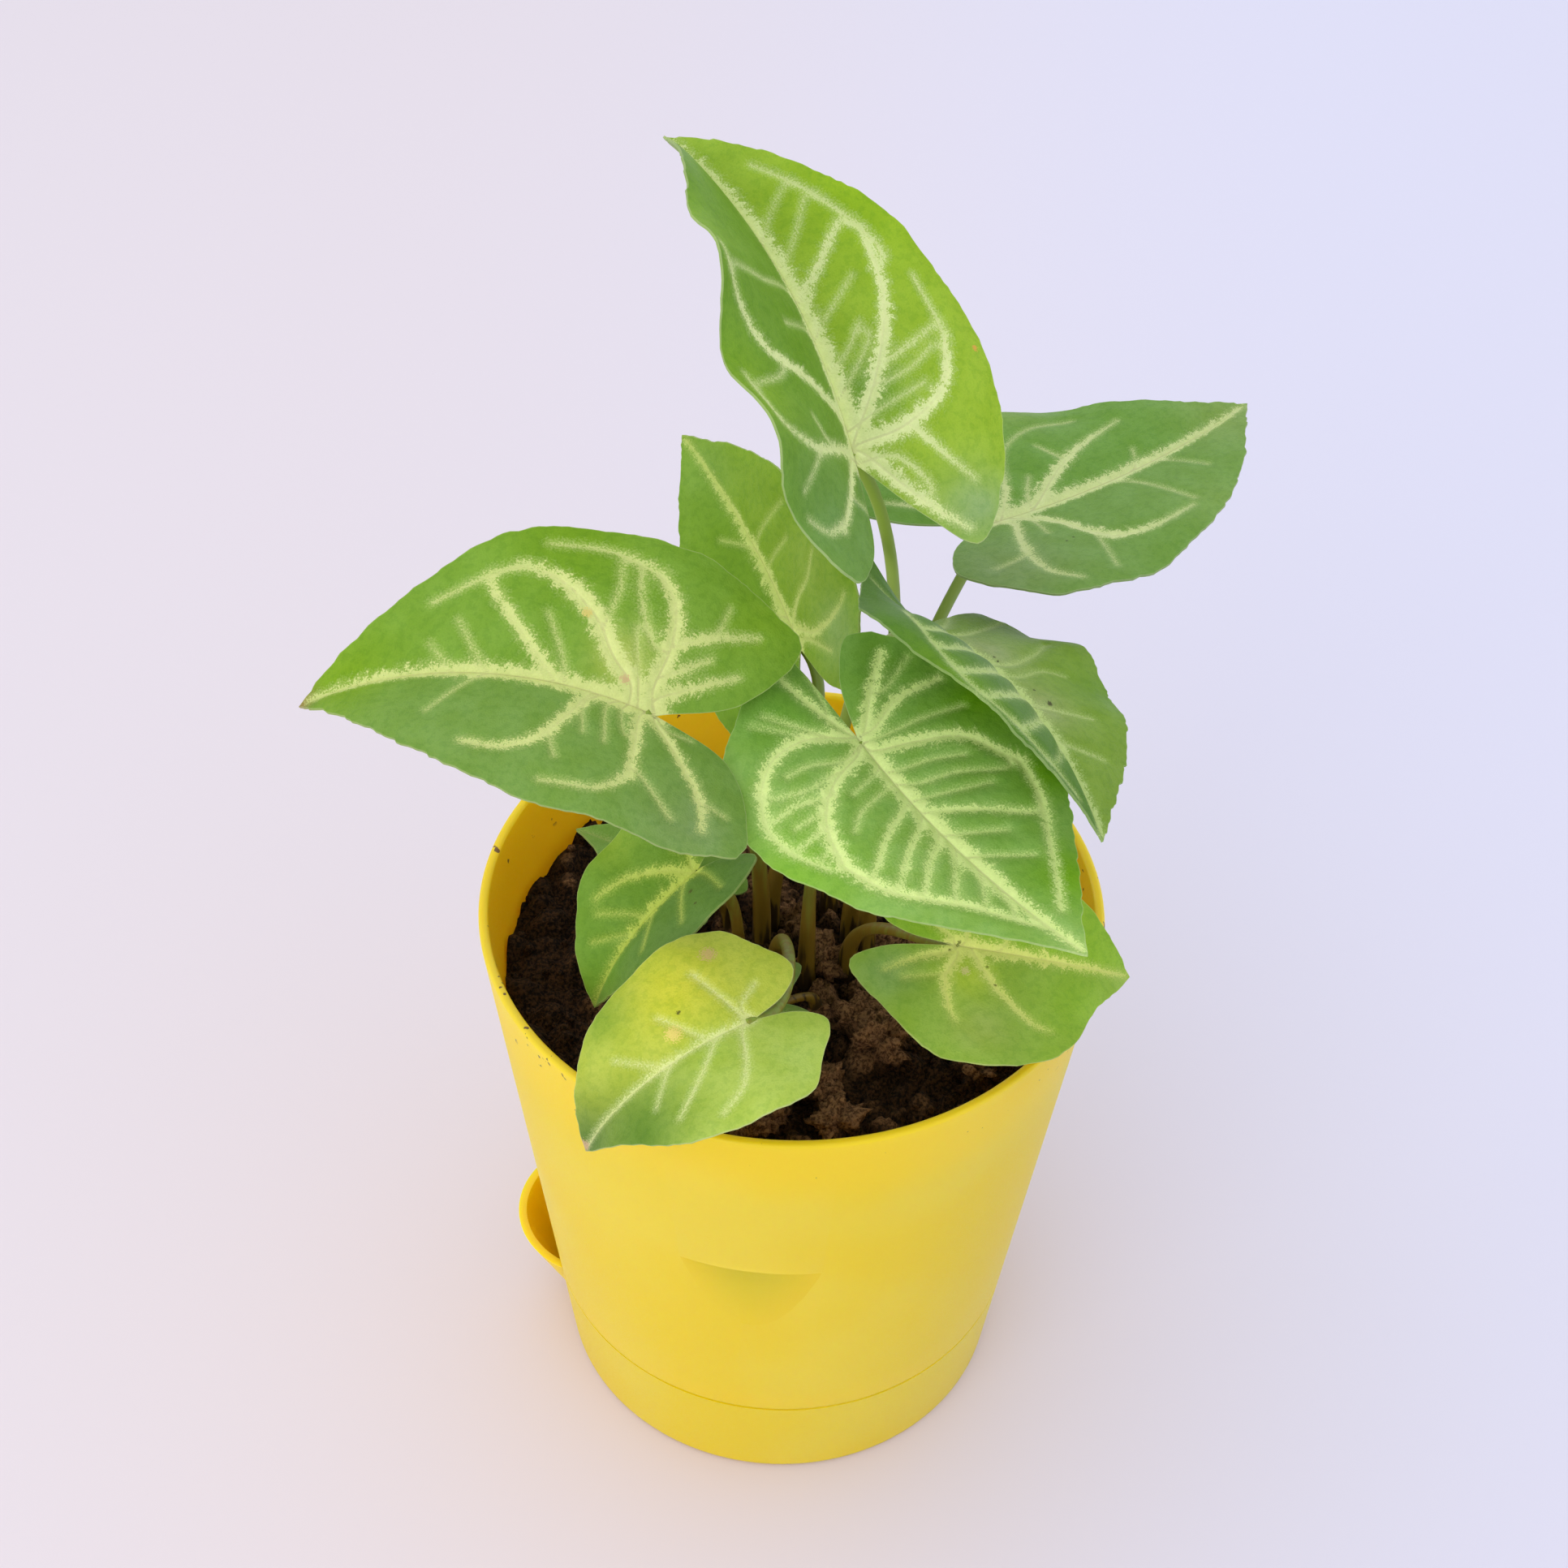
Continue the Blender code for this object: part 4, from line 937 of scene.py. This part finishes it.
        green=((136, 162, 88), (136, 162, 88)), pale=(172, 188, 120), midrib=(0.5, 0.3, 0.1),
        bands=(
            (0.4, 0.1, (0.08, 0.02), (0.22, 0.18), (0.38, 0.26)),
            (0.4, 0.1, (0.08, -0.02), (0.22, -0.18), (0.38, -0.27)),
            (0.4, 0.1, (-0.02, -0.03), (-0.30, -0.18)),
            (0.4, 0.1, (-0.02, 0.03), (-0.28, 0.18)),
        )),
}


def smooth_line(points, steps):
    """Points of a centripetal Catmull-Rom curve through the given points."""
    full = [Vector(p) for p in points]
    full = [full[0] * 2 - full[1], *full, full[-1] * 2 - full[-2]]
    line = []
    for p0, p1, p2, p3 in zip(full, full[1:], full[2:], full[3:]):
        t1 = math.sqrt((p1 - p0).length)
        t2 = t1 + math.sqrt((p2 - p1).length)
        t3 = t2 + math.sqrt((p3 - p2).length)
        for i in range(steps):
            t = t1 + (t2 - t1) * i / steps
            a1 = p0.lerp(p1, t / t1)
            a2 = p1.lerp(p2, (t - t1) / (t2 - t1))
            a3 = p2.lerp(p3, (t - t2) / (t3 - t2))
            b1 = a1.lerp(a2, t / t2)
            b2 = a2.lerp(a3, (t - t1) / (t3 - t1))
            line.append(b1.lerp(b2, (t - t1) / (t2 - t1)))
    line.append(full[-2])
    return line


def evenly(line, count):
    """The same line as count + 1 points at equal distances."""
    reached = [0.0]
    for a, b in zip(line, line[1:]):
        reached.append(reached[-1] + (b - a).length)
    out = []
    k = 0
    for i in range(count + 1):
        want = reached[-1] * i / count
        while k < len(line) - 2 and reached[k + 1] < want:
            k += 1
        share = (want - reached[k]) / (reached[k + 1] - reached[k])
        out.append(line[k].lerp(line[k + 1], min(share, 1.0)))
    return out


def half_outline(leaf, side, count):
    """Edge of one half from the tip to the notch. Side 0 is the left half, 1 the right."""
    width = leaf["width"][side]
    full = leaf["full"][side]
    lobe = leaf["lobe"][side]
    spread = leaf["spread"][side]
    hind = leaf["hind"][side]
    points = [
        (1.0, 0.0),
        (0.88, 0.20 * width * full),
        (0.70, 0.50 * width * full),
        (0.45, 0.84 * width),
        (0.18, width),
        (-0.08, 0.97 * width * hind),
        (-0.62 * lobe, (0.45 * width + 0.5 * spread + 0.04) * hind),
        (-lobe, spread),
        (-0.72 * lobe, 0.42 * spread * leaf["inner"][side]),
        (NOTCH, 0.0),
    ]
    return evenly(smooth_line(points, OUTLINE_STEPS), count)


def blade_point(leaf, u, v, side, relief=0.0):
    """Point of a blade in its own axes, for u along the midrib and v across it to the left."""
    slope = math.tan(math.radians(leaf["fold"][side]))
    out = -v if side else v
    waves = math.sin(math.tau * (RIPPLES * u + leaf["wave"][side]))
    lift = slope * out - leaf["cup"][side] * v * v + relief
    lift += leaf["ripple"][side] * (v / FULL_HALF) ** 2 * waves
    ahead = max(u, 0.0)
    behind = min(u, 0.0)
    bend = math.radians(leaf["curl"])
    angle = bend * ahead
    along = math.sin(angle) / bend if bend else ahead
    drop = (1 - math.cos(angle)) / bend if bend else 0.0
    return leaf["length"] * Vector((
        along + behind + lift * math.sin(angle),
        v / math.sqrt(1 + slope * slope) + leaf["sweep"] * ahead * ahead,
        lift * math.cos(angle) - drop - leaf["sag"][side] * behind * behind))


def leaf_turn(leaf):
    """Turn from a blade's own axes to the plant's."""
    return Euler([math.radians(a) for a in (leaf["roll"], -leaf["pitch"], leaf["heading"])])


def stem_line(leaf):
    """Middle line of a stem: straight in the soil, then one arch up to the joint."""
    lean, rise, run = leaf["stem"]
    turn = leaf_turn(leaf).to_matrix()
    lean = math.radians(lean)
    arrive = turn @ Vector((math.cos(lean), leaf["bow"], math.sin(lean)))
    start = Vector((*leaf["root"], SOIL_Z + 1))
    end = Vector(leaf["joint"])
    reach = (end - start).length
    up = start + Vector((0, 0, rise * reach))
    out = end - arrive * run * reach
    line = [Vector((*leaf["root"], STEM_FOOT_Z))]
    for i in range(STEM_STEPS + 1):
        t = i / STEM_STEPS
        s = 1 - t
        line.append(start * s ** 3 + up * 3 * s * s * t + out * 3 * s * t * t + end * t ** 3)
    return line


def rod(line, radii):
    """Round rod along a line: a cylinder cut into rings that are set along the line."""
    bpy.ops.object.select_all(action="DESELECT")
    bpy.ops.mesh.primitive_cylinder_add(vertices=ROD_SIDES, radius=1, depth=1)
    made = bpy.context.object
    bpy.ops.object.mode_set(mode="EDIT")
    bpy.ops.mesh.select_mode(type="EDGE")
    bpy.ops.mesh.select_all(action="DESELECT")
    bpy.ops.object.mode_set(mode="OBJECT")
    for edge in made.data.edges:
        low, high = (made.data.vertices[i].co.z for i in edge.vertices)
        edge.select = abs(high - low) > 0.5
    bpy.ops.object.mode_set(mode="EDIT")
    bpy.ops.mesh.subdivide(number_cuts=len(line) - 2)
    bpy.ops.mesh.select_mode(type="VERT")
    bpy.ops.object.mode_set(mode="OBJECT")
    ways = [(b - a).normalized() for a, b in zip(line, line[1:])]
    ways = [ways[0], *[(a + b).normalized() for a, b in zip(ways, ways[1:])], ways[-1]]
    side = ways[0].orthogonal().normalized()
    sides = []
    for way in ways:
        side = (side - way * side.dot(way)).normalized()
        sides.append(side)
    for vert in made.data.vertices:
        ring = round((vert.co.z + 0.5) * (len(line) - 1))
        across = sides[ring] * vert.co.x + ways[ring].cross(sides[ring]) * vert.co.y
        vert.co = (line[ring] + across * radii[ring]) * MM
    return made


def near_lines(places, lines):
    """What each place has nearest to it: rib, the distance to a line; band, the distance to
    the edge of the bands, which run together where they meet; half, the nearest band's half
    width; along, the way gone along it."""
    rib = np.full(len(places), FAR)
    edge = np.full(len(places), FAR)
    half = np.zeros(len(places))
    along = np.zeros(len(places))
    web = np.full(len(places), TINY)
    gone = 0.0
    for line, halves in lines:
        own = np.full(len(places), FAR)
        for a, b, half_a, half_b in zip(line, line[1:], halves, halves[1:]):
            way = b - a
            share = np.clip((places - a) @ way / max(way @ way, TINY), 0, 1)
            gap = np.linalg.norm(places - a - share[:, None] * way, axis=1)
            wide = half_a + (half_b - half_a) * share
            rib = np.minimum(rib, gap)
            own = np.minimum(own, gap - wide)
            nearer = gap - wide < edge
            edge = np.where(nearer, gap - wide, edge)
            half = np.where(nearer, wide, half)
            along = np.where(nearer, gone + share * np.linalg.norm(way), along)
            gone += np.linalg.norm(way)
        gone += NEXT_BAND
        web += np.exp(-own / WEBBING)
    return rib, -WEBBING * np.log(web), half, along


def screen(red, green, blue):
    """Linear colour from screen values of 0 to 255."""
    return np.array([
        c / 12.92 if c <= 0.04045 else ((c + 0.055) / 1.055) ** 2.4
        for c in (red / 255, green / 255, blue / 255)])


def blade_tints_and_painted_light(leaf, flat):
    """Colour at each place: a green for each half with soft patches over it, some of them
    painted sheen and painted shade, all made lighter by painted light where a leaf lies in shade.
    """
    left = 0.5 + 0.5 * np.tanh(flat[:, 1:] / HALVES_BLEND)
    colours = screen(*leaf["green"][0]) * left + screen(*leaf["green"][1]) * (1 - left)
    for u, v, reach, *tone in leaf["tints_and_painted_light"]:
        near = np.exp(-((flat[:, 0] - u) ** 2 + (flat[:, 1] - v) ** 2) / reach ** 2)
        colours += (screen(*tone) - colours) * near[:, None]
    # Painted light: each leaf's colours are lifted, most where the leaf lies in shade.
    return colours * leaf["painted_light_gain"]


def band_lines(leaf):
    """The midrib's and the side veins' lines in flat millimetres, each with half widths. A
    side vein is drawn on to the vein it starts beside, the midrib before others, and to one
    that it ends close to."""
    start, half_way, tip = leaf["midrib"]
    along = np.linspace(NOTCH, MIDRIB_END, MIDRIB_STEPS)
    veins = np.stack([along, 0 * along], axis=1)
    lines = [(veins * leaf["length"], np.interp(along, (0.0, 0.5, 1.0), (start, half_way, tip)))]
    for first, last, *points in leaf["bands"]:
        for at, end, reach in ((0, 0, START_REACH), (len(points) + 1, -1, END_REACH)):
            gaps = np.linalg.norm(veins - points[end], axis=1)
            if at == 0 and gaps[:len(along)].min() < reach:
                gaps = gaps[:len(along)]
            if TOUCHING < gaps.min() < reach:
                points.insert(at, tuple(veins[max(gaps.argmin() - 1, 0)]))
        line = np.array([tuple(p) for p in smooth_line(points, BAND_STEPS)])
        veins = np.concatenate([veins, line])
        lines.append((line * leaf["length"], np.linspace(first, last, len(line))))
    return lines


def leaf_paint(name, leaf):
    """Upper face: patchy green, with pale bands along the veins whose edges are frayed."""
    paint = Paint(name + "_upper")
    place = paint.node("UVMap", uv_map="flat").outputs["UV"]
    rib = paint.follow("rib")
    band = paint.follow("band")
    half = paint.follow("half")
    margin = paint.follow("margin")
    pale = PALE_LIFT * leaf["painted_light_gain"] * screen(*leaf["pale"])
    # The colour attribute here carries painted light: lifted colours and patches of sheen and shade.
    base = paint.node("Attribute", attribute_name="tint_and_painted_light").outputs["Color"]
    cloud = paint.speckle(place, 0.14, 3.0)
    lumps = paint.speckle(place, 0.7, 3.0, 0.6)
    fine = paint.speckle(place, 3.2, 3.0, 0.65)
    for patches, low, high, share, shade in (
            (cloud, 0.35, 0.65, 0.6, (0.80, 0.86, 0.50, 1)),
            (lumps, 0.46, 0.62, 0.5, (0.74, 0.84, 0.74, 1)),
            (fine, 0.42, 0.66, 0.3, (0.72, 0.80, 0.66, 1))):
        base = paint.mix(paint.ramp(patches, low, high, 0.0, share), base, shade, "MULTIPLY")
    leaning = paint.sum(paint.follow("along"), paint.product(band, 0.8))
    across = paint.node("CombineXYZ", {
        "X": leaning, "Y": paint.product(band, 0.3)}).outputs[0]
    strokes = paint.ramp(paint.speckle(across, 1.1, 3.0, 0.65), 0.32, 0.68, 0.35, -0.8)
    stray = paint.ramp(paint.speckle(place, 0.45), 0.35, 0.65, 0.1, 1.1)
    wander = paint.sum(paint.product(strokes, stray), paint.ramp(lumps, 0.3, 0.7, 0.5, -0.5))
    frayed = paint.sum(band, paint.product(wander, paint.reckon("MINIMUM", half, 0.8)))
    frayed = paint.sum(frayed, paint.ramp(fine, 0.34, 0.66, -0.42, 0.42))
    halo = paint.ramp(frayed, 1.3, 0.1, 0.0, 0.25)
    colour = paint.mix(halo, base, (*pale, 1))
    body = paint.product(paint.ramp(frayed, 0.22, -0.16), paint.ramp(half, 0.0, 0.8, 0.45, 0.9))
    colour = paint.mix(body, colour, (*pale, 1))
    heart = paint.ramp(frayed, -0.4, -1.8, 0.0, 0.6)
    colour = paint.mix(heart, colour, (*(1.1 * pale + 0.02), 1))
    groove = paint.product(paint.ramp(rib, 0.34, 0.10), paint.ramp(half, 0.6, 1.4, 0.1, 0.5))
    colour = paint.mix(groove, colour, (*(0.62 * pale + NERVE_BLUSH), 1))
    hem = paint.ramp(margin, 0.18, 0.05, 0.0, 0.35)
    colour = paint.mix(hem, colour, (*(0.10 + 0.6 * pale), 1))
    for u, v, radius, *tone in leaf["marks"]:
        spot = (u * leaf["length"], v * leaf["length"], 0)
        away = paint.node("VectorMath", {0: place, 1: spot}, operation="DISTANCE").outputs["Value"]
        away = paint.sum(away, paint.ramp(fine, 0.3, 0.7, -0.5 * radius, 0.5 * radius))
        mark = paint.ramp(away, radius, 0.5 * radius, 0.0, 0.85)
        colour = paint.mix(mark, colour, (*(leaf["painted_light_gain"] * screen(*tone)), 1))
    height = paint.sum(paint.ramp(rib, 0.0, 1.2), paint.product(fine, 0.6))
    height = paint.sum(height, paint.product(lumps, 1.5))
    paint.surface(
        Base_Color=colour, Roughness=paint.ramp(fine, 0.3, 0.7, 0.40, 0.52),
        Specular_IOR_Level=0.12, Normal=paint.bump(height, 0.14, 0.7),
        Subsurface_Weight=0.10, Subsurface_Radius=(0.6, 1.0, 0.2), Subsurface_Scale=MM)
    return paint.made


def under_paint(name, leaf):
    """Underside: paler, duller green with the veins showing as lighter lines."""
    paint = Paint(name + "_under")
    place = paint.node("UVMap", uv_map="flat").outputs["UV"]
    rib = paint.follow("rib")
    cloud = paint.speckle(place, 0.4, 3.0)
    green = leaf["painted_light_gain"] * screen(*leaf["green"][0])
    pale = leaf["painted_light_gain"] * screen(*leaf["pale"])
    dull = 0.62 * green + 0.28 * pale
    light = 0.35 * green + 0.50 * pale
    colour = paint.mix(paint.ramp(cloud, 0.35, 0.65), (*dull, 1), (*(0.85 * dull), 1))
    colour = paint.mix(paint.ramp(rib, 0.5, 0.1, 0.0, 0.8), colour, (*light, 1))
    paint.surface(
        Base_Color=colour, Roughness=0.58, Specular_IOR_Level=0.35,
        Normal=paint.bump(paint.ramp(rib, 0.8, 0.0), 0.15, 0.8),
        Subsurface_Weight=0.12, Subsurface_Radius=(0.6, 1.0, 0.2), Subsurface_Scale=MM)
    return paint.made


def stalk_paint():
    """Streaked green of the stems, olive lower down and brown where they leave the soil."""
    paint = Paint("stalk")
    place = paint.place()
    height = paint.axis(place, "Z")
    drawn_out = paint.node("VectorMath", {0: place, 1: (1, 1, 0.08)}, operation="MULTIPLY")
    streak = paint.speckle(drawn_out.outputs[0], 900.0)
    carried = paint.ramp(streak, 0.3, 0.7, -STREAK_HEIGHT * MM, STREAK_HEIGHT * MM)
    rise = paint.sum(height, carried)
    low, high = STALK_TURN_Z
    colour = paint.mix(paint.ramp(rise, low * MM, high * MM), STALK_OLIVE, STALK_GREEN)
    low, high = FOOT_TURN_Z
    colour = paint.mix(paint.ramp(rise, low * MM, high * MM), STALK_FOOT, colour)
    paint.surface(Base_Color=colour, Roughness=0.45, Normal=paint.bump(streak, 0.15, 0.5))
    return paint.made


def blade(name, leaf):
    """Wavy blade: a grid bent into rings round one point, quilted and given its thickness."""
    count, rings = LARGE_MESH if leaf["length"] > LARGE_LEAF else SMALL_MESH
    left = half_outline(leaf, 0, count)
    right = half_outline(leaf, 1, count)
    edge = [(p.x, p.y) for p in left] + [(p.x, -p.y) for p in reversed(right[:-1])]
    around = len(edge) - 1
    bpy.ops.object.select_all(action="DESELECT")
    bpy.ops.mesh.primitive_grid_add(x_subdivisions=rings, y_subdivisions=around, size=1)
    made = bpy.context.object
    made.name = name + "_blade"
    flat = []
    sides = []
    for vert in made.data.vertices:
        ring = (vert.co.x + 0.5) ** RING_EASE
        step = round((vert.co.y + 0.5) * around)
        u, v = edge[step]
        spot = Vector((u * leaf["length"], v * leaf["length"], leaf["heading"]))
        ring *= 1 + leaf["ragged"] * layered(spot, EDGE_JAGS)
        flat.append((FAN_CENTRE + (u - FAN_CENTRE) * ring, v * ring))
        sides.append(0 if step <= count else 1)
    flat = np.array(flat)
    places = flat * leaf["length"]
    rib, band, half, along = near_lines(places, band_lines(leaf))
    outer = np.array([places[k] for k, v in enumerate(made.data.vertices) if v.co.x > AT_EDGE])
    rim = np.concatenate([outer, outer[:1]])
    margin = near_lines(places, [(rim, np.zeros(len(rim)))])[0]
    for k, vert in enumerate(made.data.vertices):
        x, y = places[k]
        quilt = leaf["quilt"] * (1 - math.exp(-(rib[k] / QUILT_REACH) ** 2))
        quilt *= min(margin[k] / HEM_REACH, 1)
        groove = GROOVE_DEPTH * math.exp(-(rib[k] / GROOVE_REACH) ** 2)
        spot = Vector((x / SWAY_LENGTH, y / SWAY_LENGTH, leaf["heading"]))
        sway = SWAY_HEIGHT * noise.noise(spot) * abs(flat[k, 1]) / FULL_HALF
        relief = (quilt - groove + sway) / leaf["length"]
        vert.co = blade_point(leaf, flat[k, 0], flat[k, 1], sides[k], relief) * MM
    margin = np.minimum(margin, MARGIN_LIMIT)
    for key, values in dict(rib=rib, band=band, half=half, along=along, margin=margin).items():
        layer = made.data.attributes.new(key, "FLOAT", "POINT")
        layer.data.foreach_set("value", values.astype(np.float32))
    layer = made.data.color_attributes.new("tint_and_painted_light", "FLOAT_COLOR", "POINT")
    tints_and_painted_light = np.column_stack([blade_tints_and_painted_light(leaf, flat), np.ones(len(flat))])
    layer.data.foreach_set("color", tints_and_painted_light.astype(np.float32).ravel())
    layer = made.data.uv_layers.active
    layer.name = "flat"
    for loop in made.data.loops:
        layer.data[loop.index].uv = places[loop.vertex_index]
    made.data.transform(
        Matrix.Translation(Vector(leaf["joint"]) * MM) @ leaf_turn(leaf).to_matrix().to_4x4())
    made.data.materials.append(leaf_paint(name, leaf))
    made.data.materials.append(under_paint(name, leaf))
    made.data.materials.append(stalk)
    bpy.ops.object.mode_set(mode="EDIT")
    bpy.ops.mesh.select_all(action="SELECT")
    bpy.ops.mesh.remove_doubles(threshold=WELD_GAP * MM)
    bpy.ops.object.mode_set(mode="OBJECT")
    finish_step(made, "SOLIDIFY", thickness=BLADE_THICK * MM, offset=0.0,
                material_offset=1, material_offset_rim=0)
    return made


def stem_radii(leaf):
    return THIN_STEM_RADII if leaf["length"] < SMALL_LEAF else STEM_RADII


def stem(leaf):
    """Round stem, thicker at its foot."""
    foot, top = stem_radii(leaf)
    line = stem_line(leaf)
    radii = []
    for i in range(len(line)):
        risen = min(i / len(line) / THIN_SHARE, 1.0)
        radii.append(foot + (top - foot) * risen)
    radii[-1] *= STEM_TIP
    return rod(line, radii)


def keel(leaf):
    """Rib that stands out under the midrib and thins towards the tip."""
    top = stem_radii(leaf)[1]
    turn = leaf_turn(leaf).to_matrix()
    line = []
    radii = []
    for i in range(KEEL_STEPS + 1):
        under = blade_point(leaf, NOTCH + KEEL_REACH * i / KEEL_STEPS, 0.0, 0)
        line.append(Vector(leaf["joint"]) + turn @ (under - Vector((0, 0, KEEL_DROP))))
        radii.append(top * (KEEL_FOOT - KEEL_LOSS * i / KEEL_STEPS))
    return rod(line, radii)


stalk = stalk_paint()
for name, own in LEAVES.items():
    leaf = {**PLAIN, **own}
    made = blade(name, leaf)
    rods = [stem(leaf), keel(leaf)]
    for part in rods:
        part.data.materials.clear()
        for material in made.data.materials:
            part.data.materials.append(material)
        for face in part.data.polygons:
            face.material_index = STALK_SLOT
    bpy.ops.object.select_all(action="DESELECT")
    for part in (*rods, made):
        part.select_set(True)
    bpy.context.view_layer.objects.active = made
    bpy.ops.object.join()
    smooth_by_angle(made, 60)
    declare(made, name)


# Floor, light and camera. A plain pale floor that runs far past the pot and turns bluer to the
# right, a painted shade, soft light from a large panel overhead and from another in front at the
# left, a pale room round them, and the camera at the photograph's angle.
FLOOR_SIZE = 6000.0
FLOOR_TURNS = (-150.0, 200.0)
FLOOR_LILAC = (0.75, 0.70, 0.77, 1)
FLOOR_SHADE_BLUE = (0.72, 0.725, 0.89, 1)
ROOM_COLOUR = (0.97, 0.97, 1.0, 1)
ROOM_STRENGTH = 0.98
CAMERA_AIM_Z = 150.0
CAMERA_DISTANCE = 531.0
CAMERA_ELEVATION = math.radians(44.5)
CAMERA_YAW = -0.004
CAMERA_ROLL = 0.033
IMAGE_SIDE = 1932
FOCAL_PIXELS = 3700
SENSOR = 36.0


def floor_paper():
    """Matt paper, lilac at the left and bluer at the right, where the blue is painted shade."""
    paint = Paint("floor_paper")
    across = paint.axis(paint.place(), "X")
    left, right = FLOOR_TURNS
    # The bluer right side is painted shade.
    colour = paint.mix(paint.ramp(across, left * MM, right * MM), FLOOR_LILAC, FLOOR_SHADE_BLUE)
    paint.surface(Base_Color=colour, Roughness=0.9, Specular_IOR_Level=0.1)
    return paint.made


def panel(name, place, aim, size, power, colour):
    """Square soft light that looks at aim."""
    light = bpy.data.lights.new(name, "AREA")
    light.size = size * MM
    light.energy = power
    light.color = colour
    lamp = bpy.data.objects.new(name, light)
    lamp.location = Vector(place) * MM
    lamp.rotation_euler = (Vector(aim) - Vector(place)).to_track_quat("-Z", "Y").to_euler()
    bpy.context.scene.collection.objects.link(lamp)


bpy.ops.object.select_all(action="DESELECT")
bpy.ops.mesh.primitive_plane_add(size=FLOOR_SIZE * MM)
floor = bpy.context.object
floor.name = "floor"
floor.data.materials.append(floor_paper())

panel(
    "sky_panel", place=(-250, 100, 1100), aim=(0, 0, 120), size=900,
    power=1.5, colour=(1.0, 0.98, 0.95))
panel(
    "side_panel", place=(-600, -950, 330), aim=(0, 0, 90), size=700,
    power=3.8, colour=(1.0, 0.97, 0.94))
world = bpy.data.worlds.new("pale_room")
world.use_nodes = True
world.node_tree.nodes["Background"].inputs["Color"].default_value = ROOM_COLOUR
world.node_tree.nodes["Background"].inputs["Strength"].default_value = ROOM_STRENGTH
bpy.context.scene.world = world
bpy.context.scene.view_settings.view_transform = "Standard"

# The camera looks down at the plant, is turned by its yaw and then tilted by its roll.
look = Vector((0, math.cos(CAMERA_ELEVATION), -math.sin(CAMERA_ELEVATION)))
right = Vector((1, 0, 0))
place = Vector((0, 0, CAMERA_AIM_Z)) - look * CAMERA_DISTANCE
look, right = (
    look * math.cos(CAMERA_YAW) + right * math.sin(CAMERA_YAW),
    right * math.cos(CAMERA_YAW) - look * math.sin(CAMERA_YAW))
up = right.cross(look)
right, up = (
    right * math.cos(CAMERA_ROLL) + up * math.sin(CAMERA_ROLL),
    up * math.cos(CAMERA_ROLL) - right * math.sin(CAMERA_ROLL))
lens = bpy.data.cameras.new("camera")
lens.sensor_width = SENSOR
lens.lens = SENSOR * FOCAL_PIXELS / IMAGE_SIDE
camera = bpy.data.objects.new("camera", lens)
camera.matrix_world = Matrix.Translation(place * MM) @ Matrix((right, up, -look)).transposed().to_4x4()
bpy.context.scene.collection.objects.link(camera)
bpy.context.scene.camera = camera
